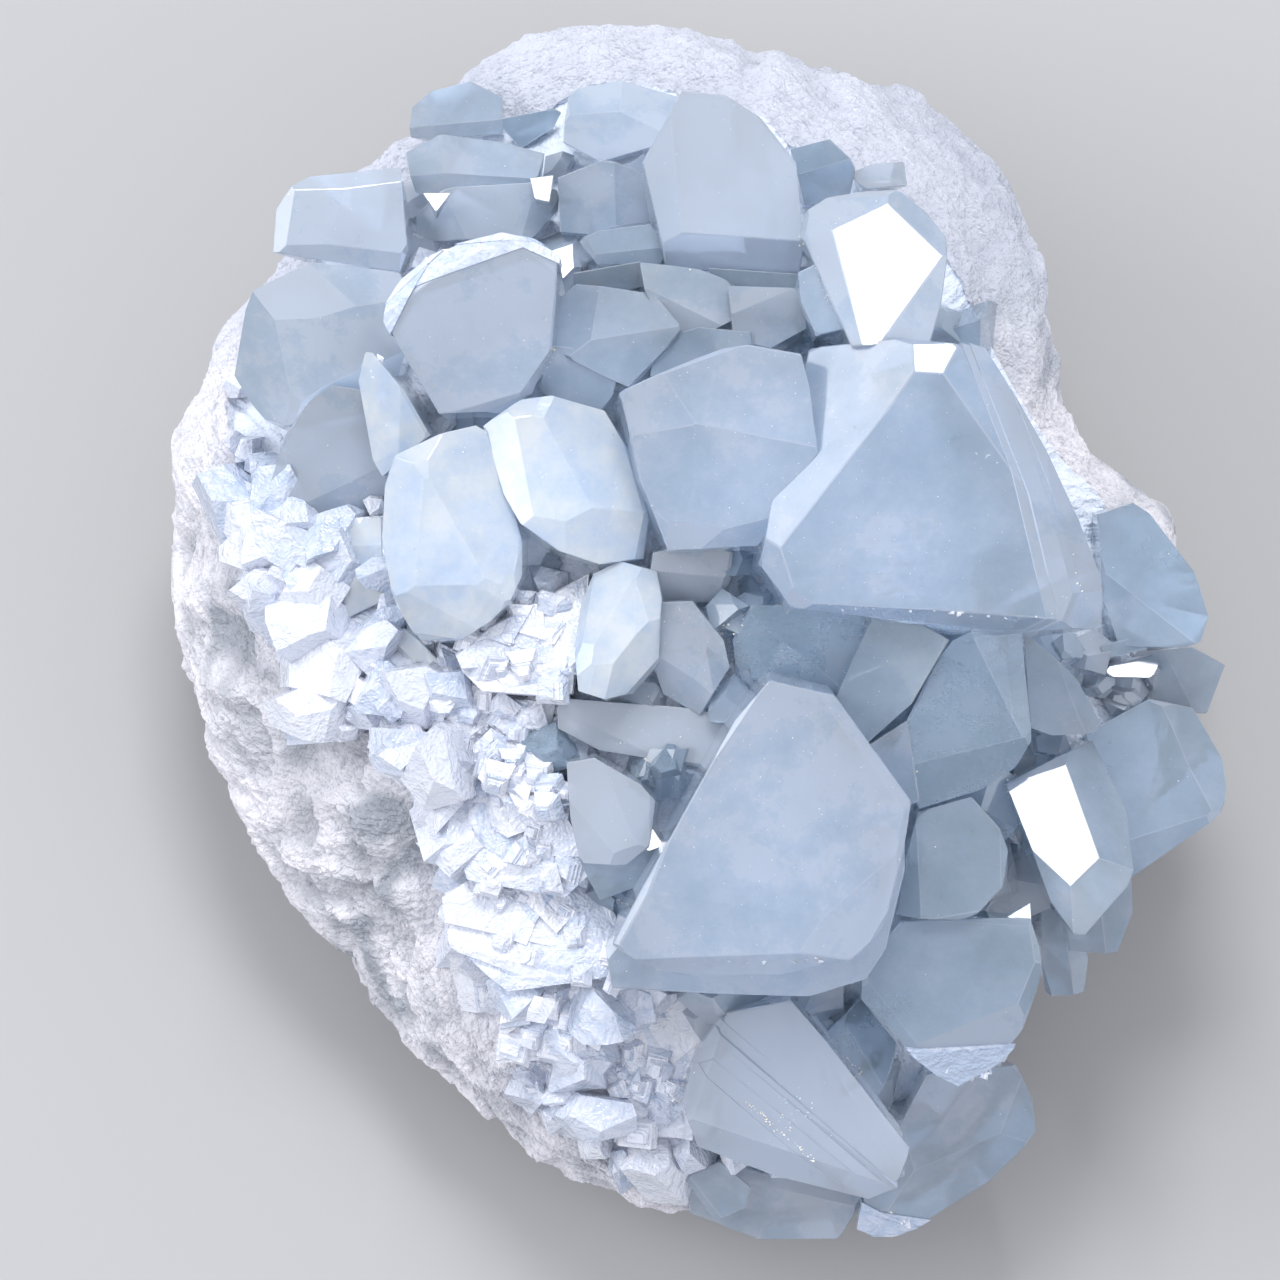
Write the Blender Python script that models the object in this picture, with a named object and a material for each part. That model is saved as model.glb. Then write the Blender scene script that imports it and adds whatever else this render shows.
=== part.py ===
"""Celestite cluster: pale blue crystals grown together on a white, sugary matrix.

Two pieces: the matrix, which rests on a small flat spot, and the crystals with the
drusy crust that joins them, which sits on the matrix with a fine gap.

The cluster is drawn in its growth frame: x to the right, y away, z out of the crystals.
The frame is then leaned back onto the resting spot.
Plan coordinates count in steps of PLAN_STEP, x to the right and y down, from the
plan's corner. Heights are millimetres above the resting spot, along the growth axis.
"""

from collections import namedtuple
from math import atan2, cos, hypot, pi, radians, sin

import bmesh
import bpy
from mathutils import Euler, Vector, noise

MM = 0.001
PLAN_STEP = 0.07            # mm for one plan unit
PLAN_CENTRE = (700, 640)    # plan point over the middle of the cluster
LEAN_BACK = 10              # degrees from the growth axis to the vertical
STAND_SHIFT = (0.13, 2.42, 0.0)  # mm, puts the middle of the cluster's box over the origin

# matrix, one value for every 15 degrees round the cluster, from +X towards +Y, in mm
MATRIX_REACH = (
    33.5, 33.5, 31.6, 35.4, 40.3, 41.6, 42.6, 44.0, 41.4, 39.6, 39.6, 39.0,
    36.4, 34.9, 34.3, 34.0, 35.3, 38.5, 40.5, 42.0, 39.0, 33.5, 35.0, 36.0,
)
FLANK_WIDTH = (
    3.0, 3.0, 3.5, 6.5, 8.0, 7.0, 4.5, 5.0, 3.0, 2.5, 2.5, 6.0,
    8.0, 11.0, 13.0, 11.0, 7.0, 4.5, 4.0, 3.0, 3.0, 3.0, 3.0, 3.0,
)
FLANK_TOP = (
    21.0, 21.0, 23.0, 26.0, 27.0, 25.0, 22.0, 20.0, 18.0, 19.0, 21.0, 24.0,
    25.0, 26.5, 27.5, 26.0, 23.5, 20.5, 18.0, 16.0, 16.0, 18.0, 20.0, 21.0,
)
WIDEST_HEIGHT = 15.0        # height of the matrix's widest line
SEAT_HEIGHT = 32.0          # top of the matrix, hidden under the crystals
SPOT_SIZE = (17.0, 15.0)    # half axes of the flat resting spot
SPOT_CENTRE = (1.0, -3.5)
MATRIX_SEGMENTS = 72
UNDER_RINGS = 8
FLANK_RINGS = 6
SEAT_RINGS = 5
SEAT_GAP = 0.45             # mm between the crystals' underside and the matrix

CRUST_THICKNESS = 2.6
CRUST_GRAIN = 1.3           # mm the crust's small faces stand higher or lower
CRUST_EDGE_WANDER = 0.05    # share of its reach by which the crust's edge wanders
CRUST_SEGMENTS = 54
CRUST_RINGS = 9

WALL_FLARE = 4.0            # degrees a crystal widens downwards
RIM_UNDERCUT = 50.0         # degrees an outer wall leans under at the cluster's edge
ROOT_HEIGHT = 9.0
FLAT_ANGLE = 0.01           # radians under which neighbouring triangles are one face
MIRROR = (90, 20)           # the growth direction that a set of parallel faces shares

Crystal = namedtuple("Crystal", "name top lean outline ridges")

# Each crystal is a convex body under one main face. top is a point on that face: plan
# x, plan y and height. lean is the way the face looks: its azimuth from +X and its angle
# from the growth axis. outline is the face's plan with the walls below it. A ridge is
# two plan points on the main face and the angle by which the face beyond them turns down.
CRYSTALS = (
    Crystal("upper_giant", (930, 500, 43.5), (250, 10),
            ((812, 331), (955, 335), (1000, 342), (1045, 415), (1080, 485), (1110, 570),
             (1117, 622), (1000, 630), (875, 617), (790, 607), (757, 560), (772, 505),
             (803, 350)),
            (((918, 386), (780, 550), 38), ((780, 550), (795, 602), 45),
             ((922, 384), (1045, 550), 30), ((957, 338), (1047, 548), 46),
             ((1045, 548), (1068, 620), 40), ((795, 603), (1060, 617), 50),
             ((900, 372), (940, 378), 26))),
    Crystal("lower_giant", (760, 860, 41.0), (262, 10),
            ((768, 681), (833, 696), (912, 805), (905, 835), (893, 915), (880, 932),
             (850, 960), (780, 976), (700, 978), (640, 966), (612, 943), (640, 890),
             (690, 800), (735, 720)),
            (((768, 681), (905, 835), 26), ((858, 860), (790, 960), 10),
             ((735, 722), (628, 930), 30), ((628, 955), (862, 948), 40))),
    Crystal("lower_shelf", (760, 950, 35.5), (265, 12),
            ((605, 945), (640, 900), (760, 860), (905, 820), (905, 870), (885, 950),
             (860, 986), (820, 995), (700, 991), (612, 986)),
            ()),
    Crystal("mirror_top", (890, 268, 40.0), MIRROR,
            ((805, 207), (830, 190), (870, 184), (905, 188), (928, 205), (953, 240),
             (953, 262), (943, 300), (940, 345), (850, 350), (803, 240)),
            (((833, 232), (885, 207), 30), ((885, 207), (937, 260), 34),
             ((937, 260), (887, 331), 40), ((857, 335), (831, 236), 42))),
    Crystal("upper_block", (740, 170, 35.5), (262, 14),
            ((680, 85), (722, 90), (760, 115), (795, 160), (803, 245), (797, 277),
             (735, 272), (668, 268), (640, 145)),
            (((680, 88), (684, 236), 32), ((684, 234), (800, 243), 38))),
    Crystal("block_step", (765, 280, 33.0), (270, 25),
            ((700, 262), (800, 270), (800, 291), (728, 291)),
            ()),
    Crystal("centre_blue", (745, 495, 41.0), (250, 17),
            ((613, 396), (640, 380), (685, 362), (722, 345), (752, 341), (800, 349),
             (807, 380), (816, 455), (800, 480), (757, 545), (700, 549), (656, 551),
             (640, 480), (620, 430)),
            (((700, 429), (797, 458), 26), ((648, 444), (700, 427), 17),
             ((652, 506), (692, 546), 22), ((690, 540), (775, 512), 30))),
    Crystal("white_topped", (480, 350, 37.0), (255, 14),
            ((387, 302), (400, 273), (425, 247), (447, 237), (495, 232), (530, 239),
             (558, 256), (556, 300), (552, 348), (532, 394), (500, 412), (440, 415),
             (402, 352), (386, 322)),
            (((400, 323), (498, 262), 34), ((498, 263), (556, 301), 26),
             ((540, 380), (440, 412), 30))),
    Crystal("left_roof", (340, 345, 32.5), (275, 18),
            ((222, 290), (248, 250), (268, 245), (350, 257), (402, 268), (407, 350),
             (390, 405), (295, 428), (245, 410), (215, 370), (197, 345), (203, 303)),
            (((278, 315), (392, 310), 36), ((278, 314), (300, 425), 38),
             ((405, 345), (300, 402), 20))),
    Crystal("left_back_block", (345, 215, 28.0), (70, 12),
            ((270, 200), (303, 171), (400, 161), (408, 250), (400, 272), (268, 252)),
            (((285, 196), (402, 184), 26), ((300, 190), (290, 255), 28),
             ((275, 240), (405, 250), 24))),
    Crystal("left_teal", (345, 450, 30.5), (258, 22),
            ((303, 402), (330, 384), (365, 390), (388, 450), (386, 500), (380, 520),
             (320, 523), (300, 515), (261, 490), (283, 432)),
            (((300, 500), (334, 484), 18), ((303, 405), (290, 505), 26))),
    Crystal("left_shard", (378, 400, 35.5), (215, 34),
            ((362, 349), (382, 352), (405, 393), (436, 430), (384, 478), (368, 450),
             (356, 380)),
            (((381, 352), (398, 440), 34),)),
    Crystal("left_white", (440, 560, 38.0), (235, 12),
            ((382, 480), (390, 455), (430, 434), (466, 421), (482, 430), (506, 490),
             (520, 540), (521, 575), (510, 602), (490, 621), (460, 638), (410, 636),
             (393, 600), (380, 540)),
            (((420, 442), (474, 565), 24), ((395, 585), (505, 600), 32),
             ((386, 560), (402, 460), 26))),
    Crystal("centre_white", (575, 445, 37.5), (70, 10),
            ((482, 424), (520, 400), (550, 396), (602, 410), (626, 450), (640, 490),
             (646, 520), (640, 556), (600, 562), (560, 550), (520, 522), (502, 490)),
            (((505, 497), (645, 530), 34), ((500, 440), (600, 412), 20))),
    Crystal("upper_centre_a", (620, 325, 34.5), (110, 18),
            ((553, 300), (575, 284), (655, 296), (682, 330), (660, 357), (630, 387),
             (600, 375), (553, 352)),
            (((570, 345), (665, 330), 30), ((600, 290), (590, 350), 18))),
    Crystal("upper_centre_b", (690, 300, 34.0), (30, 22),
            ((640, 264), (700, 270), (732, 284), (732, 322), (700, 338), (665, 330),
             (645, 292)),
            (((650, 285), (725, 320), 34),)),
    Crystal("upper_centre_c", (768, 310, 35.0), (255, 18),
            ((728, 284), (800, 289), (806, 330), (770, 350), (733, 342)),
            (((735, 318), (800, 300), 26),)),
    Crystal("upper_centre_d", (822, 300, 38.0), (195, 30),
            ((797, 275), (826, 262), (852, 330), (815, 338), (800, 305)),
            ()),
    Crystal("upper_centre_e", (605, 275, 32.0), (268, 28),
            ((573, 273), (640, 261), (646, 287), (620, 293), (574, 289)),
            ()),
    Crystal("upper_centre_f", (625, 245, 31.5), (100, 12),
            ((578, 240), (600, 231), (650, 224), (668, 250), (660, 264), (598, 266)),
            (((590, 252), (662, 240), 34),)),
    Crystal("upper_centre_g", (580, 375, 34.0), (262, 24),
            ((548, 346), (600, 350), (618, 375), (612, 398), (600, 412), (560, 402),
             (540, 392)),
            (((555, 360), (610, 385), 22),)),
    Crystal("upper_centre_h", (700, 350, 34.5), (280, 14),
            ((655, 340), (700, 328), (750, 333), (752, 346), (690, 370), (650, 378)),
            ()),
    Crystal("back_left_a", (475, 160, 26.0), (110, 26),
            ((404, 150), (440, 132), (500, 139), (545, 150), (535, 185), (440, 197),
             (412, 190)),
            (((410, 170), (540, 168), 40),)),
    Crystal("back_left_b", (480, 212, 28.0), (260, 20),
            ((408, 190), (440, 182), (530, 176), (560, 180), (556, 210), (532, 238),
             (430, 240), (404, 228)),
            (((455, 185), (480, 240), 26), ((515, 180), (505, 240), 24))),
    Crystal("back_left_mirror_a", (437, 203, 29.3), MIRROR,
            ((423, 194), (452, 194), (437, 214)), ()),
    Crystal("back_left_mirror_b", (542, 190, 29.6), MIRROR,
            ((530, 179), (554, 176), (550, 204), (535, 201)), ()),
    Crystal("back_left_c", (600, 190, 29.0), (258, 20),
            ((556, 150), (602, 156), (642, 140), (650, 222), (600, 236), (560, 232)),
            (((600, 155), (606, 235), 26),)),
    Crystal("back_left_d", (530, 112, 23.5), (265, 32),
            ((498, 86), (530, 79), (566, 100), (552, 126), (520, 146), (498, 120)),
            (((505, 100), (560, 110), 40),)),
    Crystal("back_left_e", (450, 112, 20.5), (120, 20),
            ((411, 105), (430, 89), (470, 79), (502, 95), (502, 132), (440, 137),
             (407, 135)),
            (((415, 125), (500, 118), 32),)),
    Crystal("back_centre_a", (620, 110, 26.5), (100, 22),
            ((570, 90), (620, 80), (680, 84), (672, 140), (600, 160), (560, 140)),
            (((575, 115), (675, 108), 38), ((622, 85), (618, 150), 20))),
    Crystal("back_right_a", (880, 172, 30.0), (100, 20),
            ((848, 172), (870, 160), (906, 157), (910, 186), (862, 190)),
            ()),
    Crystal("back_right_b", (830, 165, 29.5), (160, 24),
            ((790, 150), (830, 140), (856, 165), (850, 195), (805, 205)),
            (((800, 175), (850, 160), 30),)),
    Crystal("right_wing", (1150, 585, 27.5), (75, 16),
            ((1097, 515), (1135, 502), (1154, 514), (1200, 573), (1214, 618),
             (1207, 641), (1195, 647), (1120, 644), (1103, 600)),
            (((1105, 560), (1205, 635), 28), ((1150, 512), (1208, 600), 26))),
    Crystal("right_mirror", (1133, 667, 26.0), MIRROR,
            ((1104, 668), (1155, 654), (1164, 665), (1158, 678), (1110, 677)), ()),
    Crystal("right_bar", (1125, 650, 27.0), (270, 20),
            ((1100, 646), (1148, 634), (1152, 648), (1104, 660)), ()),
    Crystal("right_low", (1180, 680, 21.0), (30, 20),
            ((1110, 655), (1195, 647), (1228, 665), (1209, 714), (1170, 712),
             (1098, 700)),
            (((1165, 650), (1195, 712), 24),)),
    Crystal("right_tail", (1175, 765, 25.0), (45, 14),
            ((1085, 735), (1150, 699), (1208, 711), (1241, 765), (1242, 790),
             (1234, 814), (1160, 905), (1120, 880)),
            (((1150, 702), (1212, 840), 22), ((1118, 830), (1236, 800), 42))),
    Crystal("mirror_low", (1042, 815, 32.5), MIRROR,
            ((976, 799), (1015, 773), (1057, 756), (1102, 733), (1157, 840), (1151, 921),
             (1125, 956), (1070, 951), (1050, 900)),
            (((1063, 760), (1097, 857), 38), ((1098, 856), (1068, 885), 42),
             ((977, 799), (1068, 885), 46), ((979, 797), (1060, 759), 34))),
    Crystal("below_mirror", (1090, 910, 26.5), (290, 22),
            ((1060, 880), (1100, 862), (1150, 880), (1150, 921), (1125, 957),
             (1070, 952)),
            (((1085, 870), (1100, 955), 28),)),
    Crystal("deep_blue", (965, 715, 36.5), (290, 20),
            ((905, 720), (925, 680), (946, 643), (975, 628), (1026, 631), (1032, 740),
             (1020, 767), (985, 791), (920, 811), (903, 765)),
            (((948, 645), (1020, 760), 20), ((905, 760), (1020, 725), 18))),
    Crystal("lilac_slope", (885, 670, 38.0), (205, 26),
            ((872, 617), (916, 621), (948, 640), (912, 702), (851, 757), (836, 696)),
            (((916, 622), (860, 750), 24),)),
    Crystal("middle_wedge", (890, 765, 36.0), (250, 28),
            ((848, 757), (905, 720), (918, 800), (905, 806)), ()),
    Crystal("right_step", (1060, 685, 31.5), (15, 24),
            ((1022, 632), (1050, 627), (1080, 680), (1103, 700), (1105, 722),
             (1098, 733), (1050, 735), (1028, 727)),
            (((1040, 630), (1085, 735), 26),)),
    Crystal("dark_teal", (800, 645, 35.0), (282, 12),
            ((750, 606), (795, 605), (875, 615), (857, 667), (833, 696), (775, 683),
             (738, 677), (733, 640)),
            (((755, 612), (842, 690), 16),)),
    Crystal("middle_a", (690, 572, 35.5), (268, 22),
            ((653, 553), (700, 544), (732, 553), (729, 580), (720, 602), (690, 602),
             (658, 604), (649, 580)),
            (((655, 570), (728, 575), 22),)),
    Crystal("middle_b", (690, 650, 35.5), (235, 18),
            ((658, 603), (692, 602), (722, 640), (728, 667), (700, 714), (664, 693),
             (651, 657)),
            (((690, 604), (708, 705), 30), ((655, 640), (720, 690), 20))),
    Crystal("clear_middle", (618, 630, 37.0), (100, 12),
            ((594, 575), (620, 562), (656, 572), (661, 600), (656, 662), (630, 691),
             (604, 698), (579, 690), (575, 650), (582, 606)),
            (((606, 580), (600, 690), 26), ((634, 568), (646, 670), 26),
             ((580, 655), (658, 648), 24))),
    Crystal("broken_white", (525, 640, 35.0), (120, 18),
            ((449, 645), (490, 624), (530, 590), (560, 569), (592, 575), (584, 620),
             (577, 691), (550, 696), (480, 691), (460, 672)),
            (((470, 665), (580, 640), 30), ((530, 592), (545, 690), 18))),
    Crystal("low_grey", (640, 735, 33.5), (284, 10),
            ((558, 700), (650, 691), (700, 709), (738, 712), (706, 772), (650, 776),
             (600, 750), (558, 743)),
            (((575, 705), (690, 765), 14),)),
    Crystal("pale_lilac", (610, 812, 36.0), (235, 16),
            ((567, 762), (595, 757), (640, 784), (654, 800), (649, 845), (625, 864),
             (580, 863), (571, 820)),
            (((597, 760), (640, 850), 22), ((575, 800), (620, 860), 18))),
    Crystal("pale_mirror", (651, 836, 35.6), MIRROR,
            ((648, 820), (664, 845), (648, 851), (640, 838)), ()),
    Crystal("pale_foot", (615, 876, 33.5), (270, 30),
            ((578, 858), (656, 846), (642, 884), (600, 900)), ()),
    Crystal("left_low_a", (455, 730, 31.0), (205, 22),
            ((424, 741), (437, 699), (470, 697), (501, 720), (482, 757), (465, 771),
             (440, 762)),
            (((437, 702), (480, 755), 26),)),
    Crystal("left_low_b", (462, 690, 31.0), (95, 24),
            ((431, 682), (445, 666), (487, 689), (503, 698), (440, 703)), ()),
    Crystal("left_low_c", (525, 780, 34.0), (115, 16),
            ((474, 780), (490, 744), (520, 737), (547, 764), (572, 800), (566, 823),
             (530, 814), (500, 804)),
            (((490, 755), (560, 815), 26), ((480, 775), (550, 770), 16))),
    Crystal("left_low_d", (520, 720, 32.5), (80, 16),
            ((480, 690), (555, 693), (562, 745), (520, 742), (492, 722)),
            (((485, 705), (560, 725), 28),)),
    Crystal("broken_a", (520, 840, 31.5), (155, 16),
            ((440, 812), (480, 790), (565, 806), (598, 868), (560, 902), (462, 884)),
            (((450, 850), (590, 845), 26), ((500, 795), (520, 895), 20))),
    Crystal("broken_b", (535, 930, 30.0), (150, 14),
            ((440, 895), (470, 876), (598, 880), (626, 940), (604, 986), (500, 1002),
             (446, 950)),
            (((450, 930), (620, 935), 22), ((530, 880), (545, 1000), 18))),
    Crystal("broken_plate", (550, 1015, 27.5), (205, 14),
            ((498, 1002), (550, 964), (602, 949), (610, 978), (590, 1021), (561, 1046),
             (531, 1076), (489, 1079)),
            (((500, 1015), (600, 985), 20),)),
    Crystal("iridescent_break", (640, 1070, 25.0), (225, 16),
            ((570, 1062), (606, 998), (685, 990), (712, 1050), (700, 1110), (692, 1162),
             (622, 1152), (584, 1112)),
            (((610, 1005), (650, 1155), 20), ((580, 1090), (705, 1070), 22))),
    Crystal("bottom_prism", (790, 1090, 29.0), (228, 20),
            ((728, 1011), (790, 999), (824, 1038), (911, 1150), (900, 1177), (870, 1202),
             (780, 1183), (700, 1152), (684, 1102), (700, 1050)),
            (((790, 1003), (900, 1172), 22), ((700, 1120), (880, 1180), 24),
             ((728, 1013), (690, 1130), 26))),
    Crystal("bottom_right_dark", (865, 1050, 26.0), (25, 24),
            ((822, 1038), (860, 998), (902, 1050), (892, 1070), (882, 1107),
             (852, 1083)),
            (((840, 1015), (885, 1090), 22),)),
    Crystal("bottom_foot", (960, 1140, 22.0), (298, 16),
            ((884, 1074), (950, 1070), (1015, 1062), (1036, 1105), (1042, 1140),
             (1000, 1196), (930, 1246), (880, 1259), (838, 1246), (868, 1188)),
            (((890, 1080), (935, 1245), 20), ((895, 1180), (1035, 1120), 22))),
    Crystal("bottom_left_foot", (765, 1205, 19.0), (265, 22),
            ((690, 1160), (780, 1180), (868, 1200), (840, 1244), (760, 1246),
             (690, 1221)),
            (((700, 1190), (845, 1212), 26),)),
    Crystal("white_tipped", (945, 980, 33.0), (248, 14),
            ((862, 962), (900, 920), (975, 917), (1031, 917), (1048, 965), (1045, 986),
             (1030, 1041), (1012, 1070), (970, 1098), (945, 1082), (905, 1046),
             (861, 1000)),
            (((1017, 915), (1034, 1006), 34), ((925, 1042), (1035, 1003), 26),
             ((870, 975), (925, 1050), 22), ((905, 935), (1015, 945), 14))),
    Crystal("right_clear", (955, 860, 34.5), (105, 16),
            ((896, 920), (902, 870), (917, 811), (970, 796), (1001, 830), (1011, 856),
             (1005, 891), (976, 923)),
            (((940, 898), (1005, 888), 34), ((925, 815), (945, 915), 22),
             ((985, 812), (975, 920), 24))),
    Crystal("right_spark", (1020, 912, 33.0), MIRROR,
            ((1004, 916), (1029, 901), (1030, 925)), ()),
    Crystal("right_under", (1068, 945, 22.5), (0, 26),
            ((1044, 880), (1076, 888), (1090, 960), (1086, 992), (1050, 1006),
             (1042, 960)),
            (((1060, 885), (1075, 998), 26),)),
    Crystal("bottom_lump", (718, 1195, 20.5), (230, 16),
            ((680, 1181), (720, 1164), (752, 1190), (746, 1216), (714, 1229)),
            (((700, 1175), (735, 1222), 26),)),
    Crystal("left_edge_a", (305, 612, 23.5), (205, 20),
            ((254, 602), (290, 574), (346, 614), (357, 650), (300, 654), (261, 641)),
            (((285, 580), (320, 652), 24),)),
    Crystal("left_edge_b", (345, 570, 29.0), (235, 18),
            ((307, 541), (318, 518), (381, 516), (386, 600), (346, 619), (307, 570)),
            (((312, 549), (382, 545), 30),)),
    Crystal("left_edge_c", (384, 675, 28.0), (262, 24),
            ((354, 650), (400, 647), (412, 680), (395, 711), (367, 693)),
            (((360, 668), (410, 675), 24),)),
    Crystal("left_edge_d", (405, 635, 30.5), (190, 20),
            ((382, 600), (412, 632), (450, 645), (445, 690), (408, 660), (355, 650),
             (346, 619)),
            (((390, 610), (430, 690), 24),)),
    Crystal("left_edge_e", (315, 672, 22.0), (215, 24),
            ((262, 642), (356, 650), (370, 697), (330, 702), (280, 672)),
            (((300, 648), (340, 700), 20),)),
)


def plan(px, py):
    """Plan units to millimetres from the plan's centre."""
    x = (px - PLAN_CENTRE[0]) * PLAN_STEP
    y = (PLAN_CENTRE[1] - py) * PLAN_STEP
    return Vector((x, y))


def stand(point):
    """A point of the growth frame in millimetres, leaned back onto the resting spot."""
    leaned = Euler((radians(LEAN_BACK), 0, 0)).to_matrix() @ Vector(point)
    return leaned + Vector(STAND_SHIFT)


def around(values, azimuth):
    """A smooth value at an azimuth in radians, between values spaced evenly round."""
    count = len(values)
    place = (azimuth / (2 * pi) * count) % count
    first = int(place)
    t = place - first
    before, here, after, last = (values[(first + k) % count] for k in (-1, 0, 1, 2))
    bend = 2 * here + (after - before) * t
    bend += (2 * before - 5 * here + 4 * after - last) * t * t
    bend += (3 * here - before - 3 * after + last) * t * t * t
    return bend / 2


def direction(azimuth, tilt):
    """The unit vector that looks tilt degrees from +Z, towards an azimuth."""
    a = radians(azimuth)
    t = radians(tilt)
    return Vector((cos(a) * sin(t), sin(a) * sin(t), cos(t)))


def seat_height(x, y):
    """Height of the hidden top of the matrix over a plan point, in millimetres."""
    azimuth = atan2(y, x)
    rim = around(MATRIX_REACH, azimuth) - around(FLANK_WIDTH, azimuth)
    share = min(1.0, hypot(x, y) / rim)
    rim_height = around(FLANK_TOP, azimuth)
    return rim_height + (SEAT_HEIGHT - rim_height) * (1 - share * share)


def face_beyond(face_point, face_normal, start, end, turn):
    """The face that meets the main face along start to end and turns down beyond it."""
    along = (end - start).normalized()
    outward = along.cross(face_normal)
    middle = (start + end) / 2
    if outward.dot(face_point - middle) > 0:
        outward = -outward
    angle = radians(turn)
    normal = face_normal * cos(angle) + outward * sin(angle)
    return middle, normal


def wall_below(face_point, face_normal, start, end):
    """The wall under an outline edge: nearly upright, leaning under near the rim."""
    along = (end - start).normalized()
    level = Vector((along.y, -along.x, 0)).normalized()
    middle = (start + end) / 2
    if level.dot(face_point - middle) > 0:
        level = -level
    spread = Vector((middle.x, middle.y, 0))
    reach = spread.length / around(MATRIX_REACH, atan2(middle.y, middle.x))
    outwards = max(0.0, level.dot(spread.normalized()))
    flare = radians(WALL_FLARE - RIM_UNDERCUT * outwards * min(reach, 1.0) ** 2)
    upright = level.cross(along)
    if upright.z < 0:
        upright = -upright
    return middle, level * cos(flare) + upright * sin(flare)


def crystal_faces(crystal):
    """Every bounding plane of a crystal, as a point and an outward normal."""
    px, py, height = crystal.top
    face_point = Vector((*plan(px, py), height))
    normal = direction(*crystal.lean)

    def on_face(px, py):
        spot = plan(px, py)
        rise = (spot - face_point.xy).dot(normal.xy) / normal.z
        return Vector((spot.x, spot.y, height - rise))

    faces = [(face_point, normal), (Vector((0, 0, ROOT_HEIGHT)), Vector((0, 0, -1)))]
    for start, end, turn in crystal.ridges:
        faces.append(face_beyond(face_point, normal, on_face(*start), on_face(*end), turn))
    corners = [on_face(*corner) for corner in crystal.outline]
    for start, end in zip(corners, corners[1:] + corners[:1]):
        faces.append(wall_below(face_point, normal, start, end))
    return faces


def convex_body(faces):
    """The closed convex body behind all the faces."""
    bm = bmesh.new()
    bmesh.ops.create_cube(bm, size=300)
    for point, normal in faces:
        everything = bm.verts[:] + bm.edges[:] + bm.faces[:]
        bmesh.ops.bisect_plane(bm, geom=everything, dist=1e-4, plane_co=point,
                               plane_no=normal, clear_outer=True)
        rim = [edge for edge in bm.edges if edge.is_boundary]
        if rim:
            bmesh.ops.edgeloop_fill(bm, edges=rim)
    bmesh.ops.recalc_face_normals(bm, faces=bm.faces)
    return bm


def standing_object(name, bm):
    """An object from a growth-frame mesh in millimetres, in flat triangles."""
    bmesh.ops.triangulate(bm, faces=bm.faces)
    for vert in bm.verts:
        vert.co = stand(vert.co) * MM
    mesh = bpy.data.meshes.new(name)
    bm.to_mesh(mesh)
    bm.free()
    made = bpy.data.objects.new(name, mesh)
    bpy.context.scene.collection.objects.link(made)
    return made


def rough(point, size, seed):
    """Noise from about -1 to 1 with lumps of a given size in millimetres."""
    return noise.noise(point / size + Vector((seed, 0, 0))) * 1.6


def rings_to_mesh(rings, bottom, top):
    """A closed mesh from rings of points, low to high, and two end points."""
    bm = bmesh.new()
    rows = [[bm.verts.new(point) for point in ring] for ring in rings]
    count = len(rows[0])
    for low, high in zip(rows, rows[1:]):
        for k in range(count):
            after = (k + 1) % count
            bm.faces.new((low[k], low[after], high[after], high[k]))
    floor = bm.verts.new(bottom)
    roof = bm.verts.new(top)
    for k in range(count):
        after = (k + 1) % count
        bm.faces.new((floor, rows[0][after], rows[0][k]))
        bm.faces.new((roof, rows[-1][k], rows[-1][after]))
    return bm


def lay_down(point):
    """The growth-frame point that stand() puts at a given standing point."""
    back = Euler((radians(-LEAN_BACK), 0, 0)).to_matrix()
    return back @ (Vector(point) - Vector(STAND_SHIFT))


def matrix_rings():
    """Rings of the matrix in the growth frame, from the resting spot to the seat."""
    rings = []
    angles = [2 * pi * k / MATRIX_SEGMENTS for k in range(MATRIX_SEGMENTS)]
    shift = Vector(STAND_SHIFT)
    for ring in range(UNDER_RINGS):
        t = ring / UNDER_RINGS
        points = []
        for a in angles:
            reach = around(MATRIX_REACH, a)
            widest = stand((reach * cos(a), reach * sin(a), WIDEST_HEIGHT))
            spot = shift + Vector((SPOT_CENTRE[0] + SPOT_SIZE[0] * cos(a),
                                   SPOT_CENTRE[1] + SPOT_SIZE[1] * sin(a), 0))
            out = sin(t * pi / 2)
            up = 1 - cos(t * pi / 2)
            low = Vector((spot.x + (widest.x - spot.x) * out,
                          spot.y + (widest.y - spot.y) * out, widest.z * up))
            if ring:
                away = Vector((cos(a), sin(a), -0.8)).normalized()
                low += away * rough_matrix(low) * min(1, t * 2.5)
                low.z = max(low.z, 0.15 * ring)
            points.append(lay_down(low))
        rings.append(points)
    for ring in range(FLANK_RINGS):
        t = ring / FLANK_RINGS
        points = []
        for a in angles:
            reach = around(MATRIX_REACH, a)
            width = around(FLANK_WIDTH, a)
            radius = reach - width * t ** 1.5
            height = WIDEST_HEIGHT + (around(FLANK_TOP, a) - WIDEST_HEIGHT) * t ** 0.8
            point = Vector((radius * cos(a), radius * sin(a), height))
            away = Vector((cos(a), sin(a), 0.4)).normalized()
            points.append(point + away * rough_matrix(point))
        rings.append(points)
    for ring in range(SEAT_RINGS):
        share = 1 - ring / SEAT_RINGS
        points = []
        for a in angles:
            rim = around(MATRIX_REACH, a) - around(FLANK_WIDTH, a)
            x = rim * share * cos(a)
            y = rim * share * sin(a)
            points.append(Vector((x, y, seat_height(x * 0.999, y * 0.999))))
        rings.append(points)
    return rings


def rough_matrix(point):
    """How far the matrix stands out of its smooth form: lumps, ledges and pits."""
    lumps = rough(point, 11, 3) * 1.1 + rough(point, 5, 17) * 0.6
    pit = max(0.0, rough(point, 7, 41) - 0.75) * 3.5
    return lumps - pit


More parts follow.
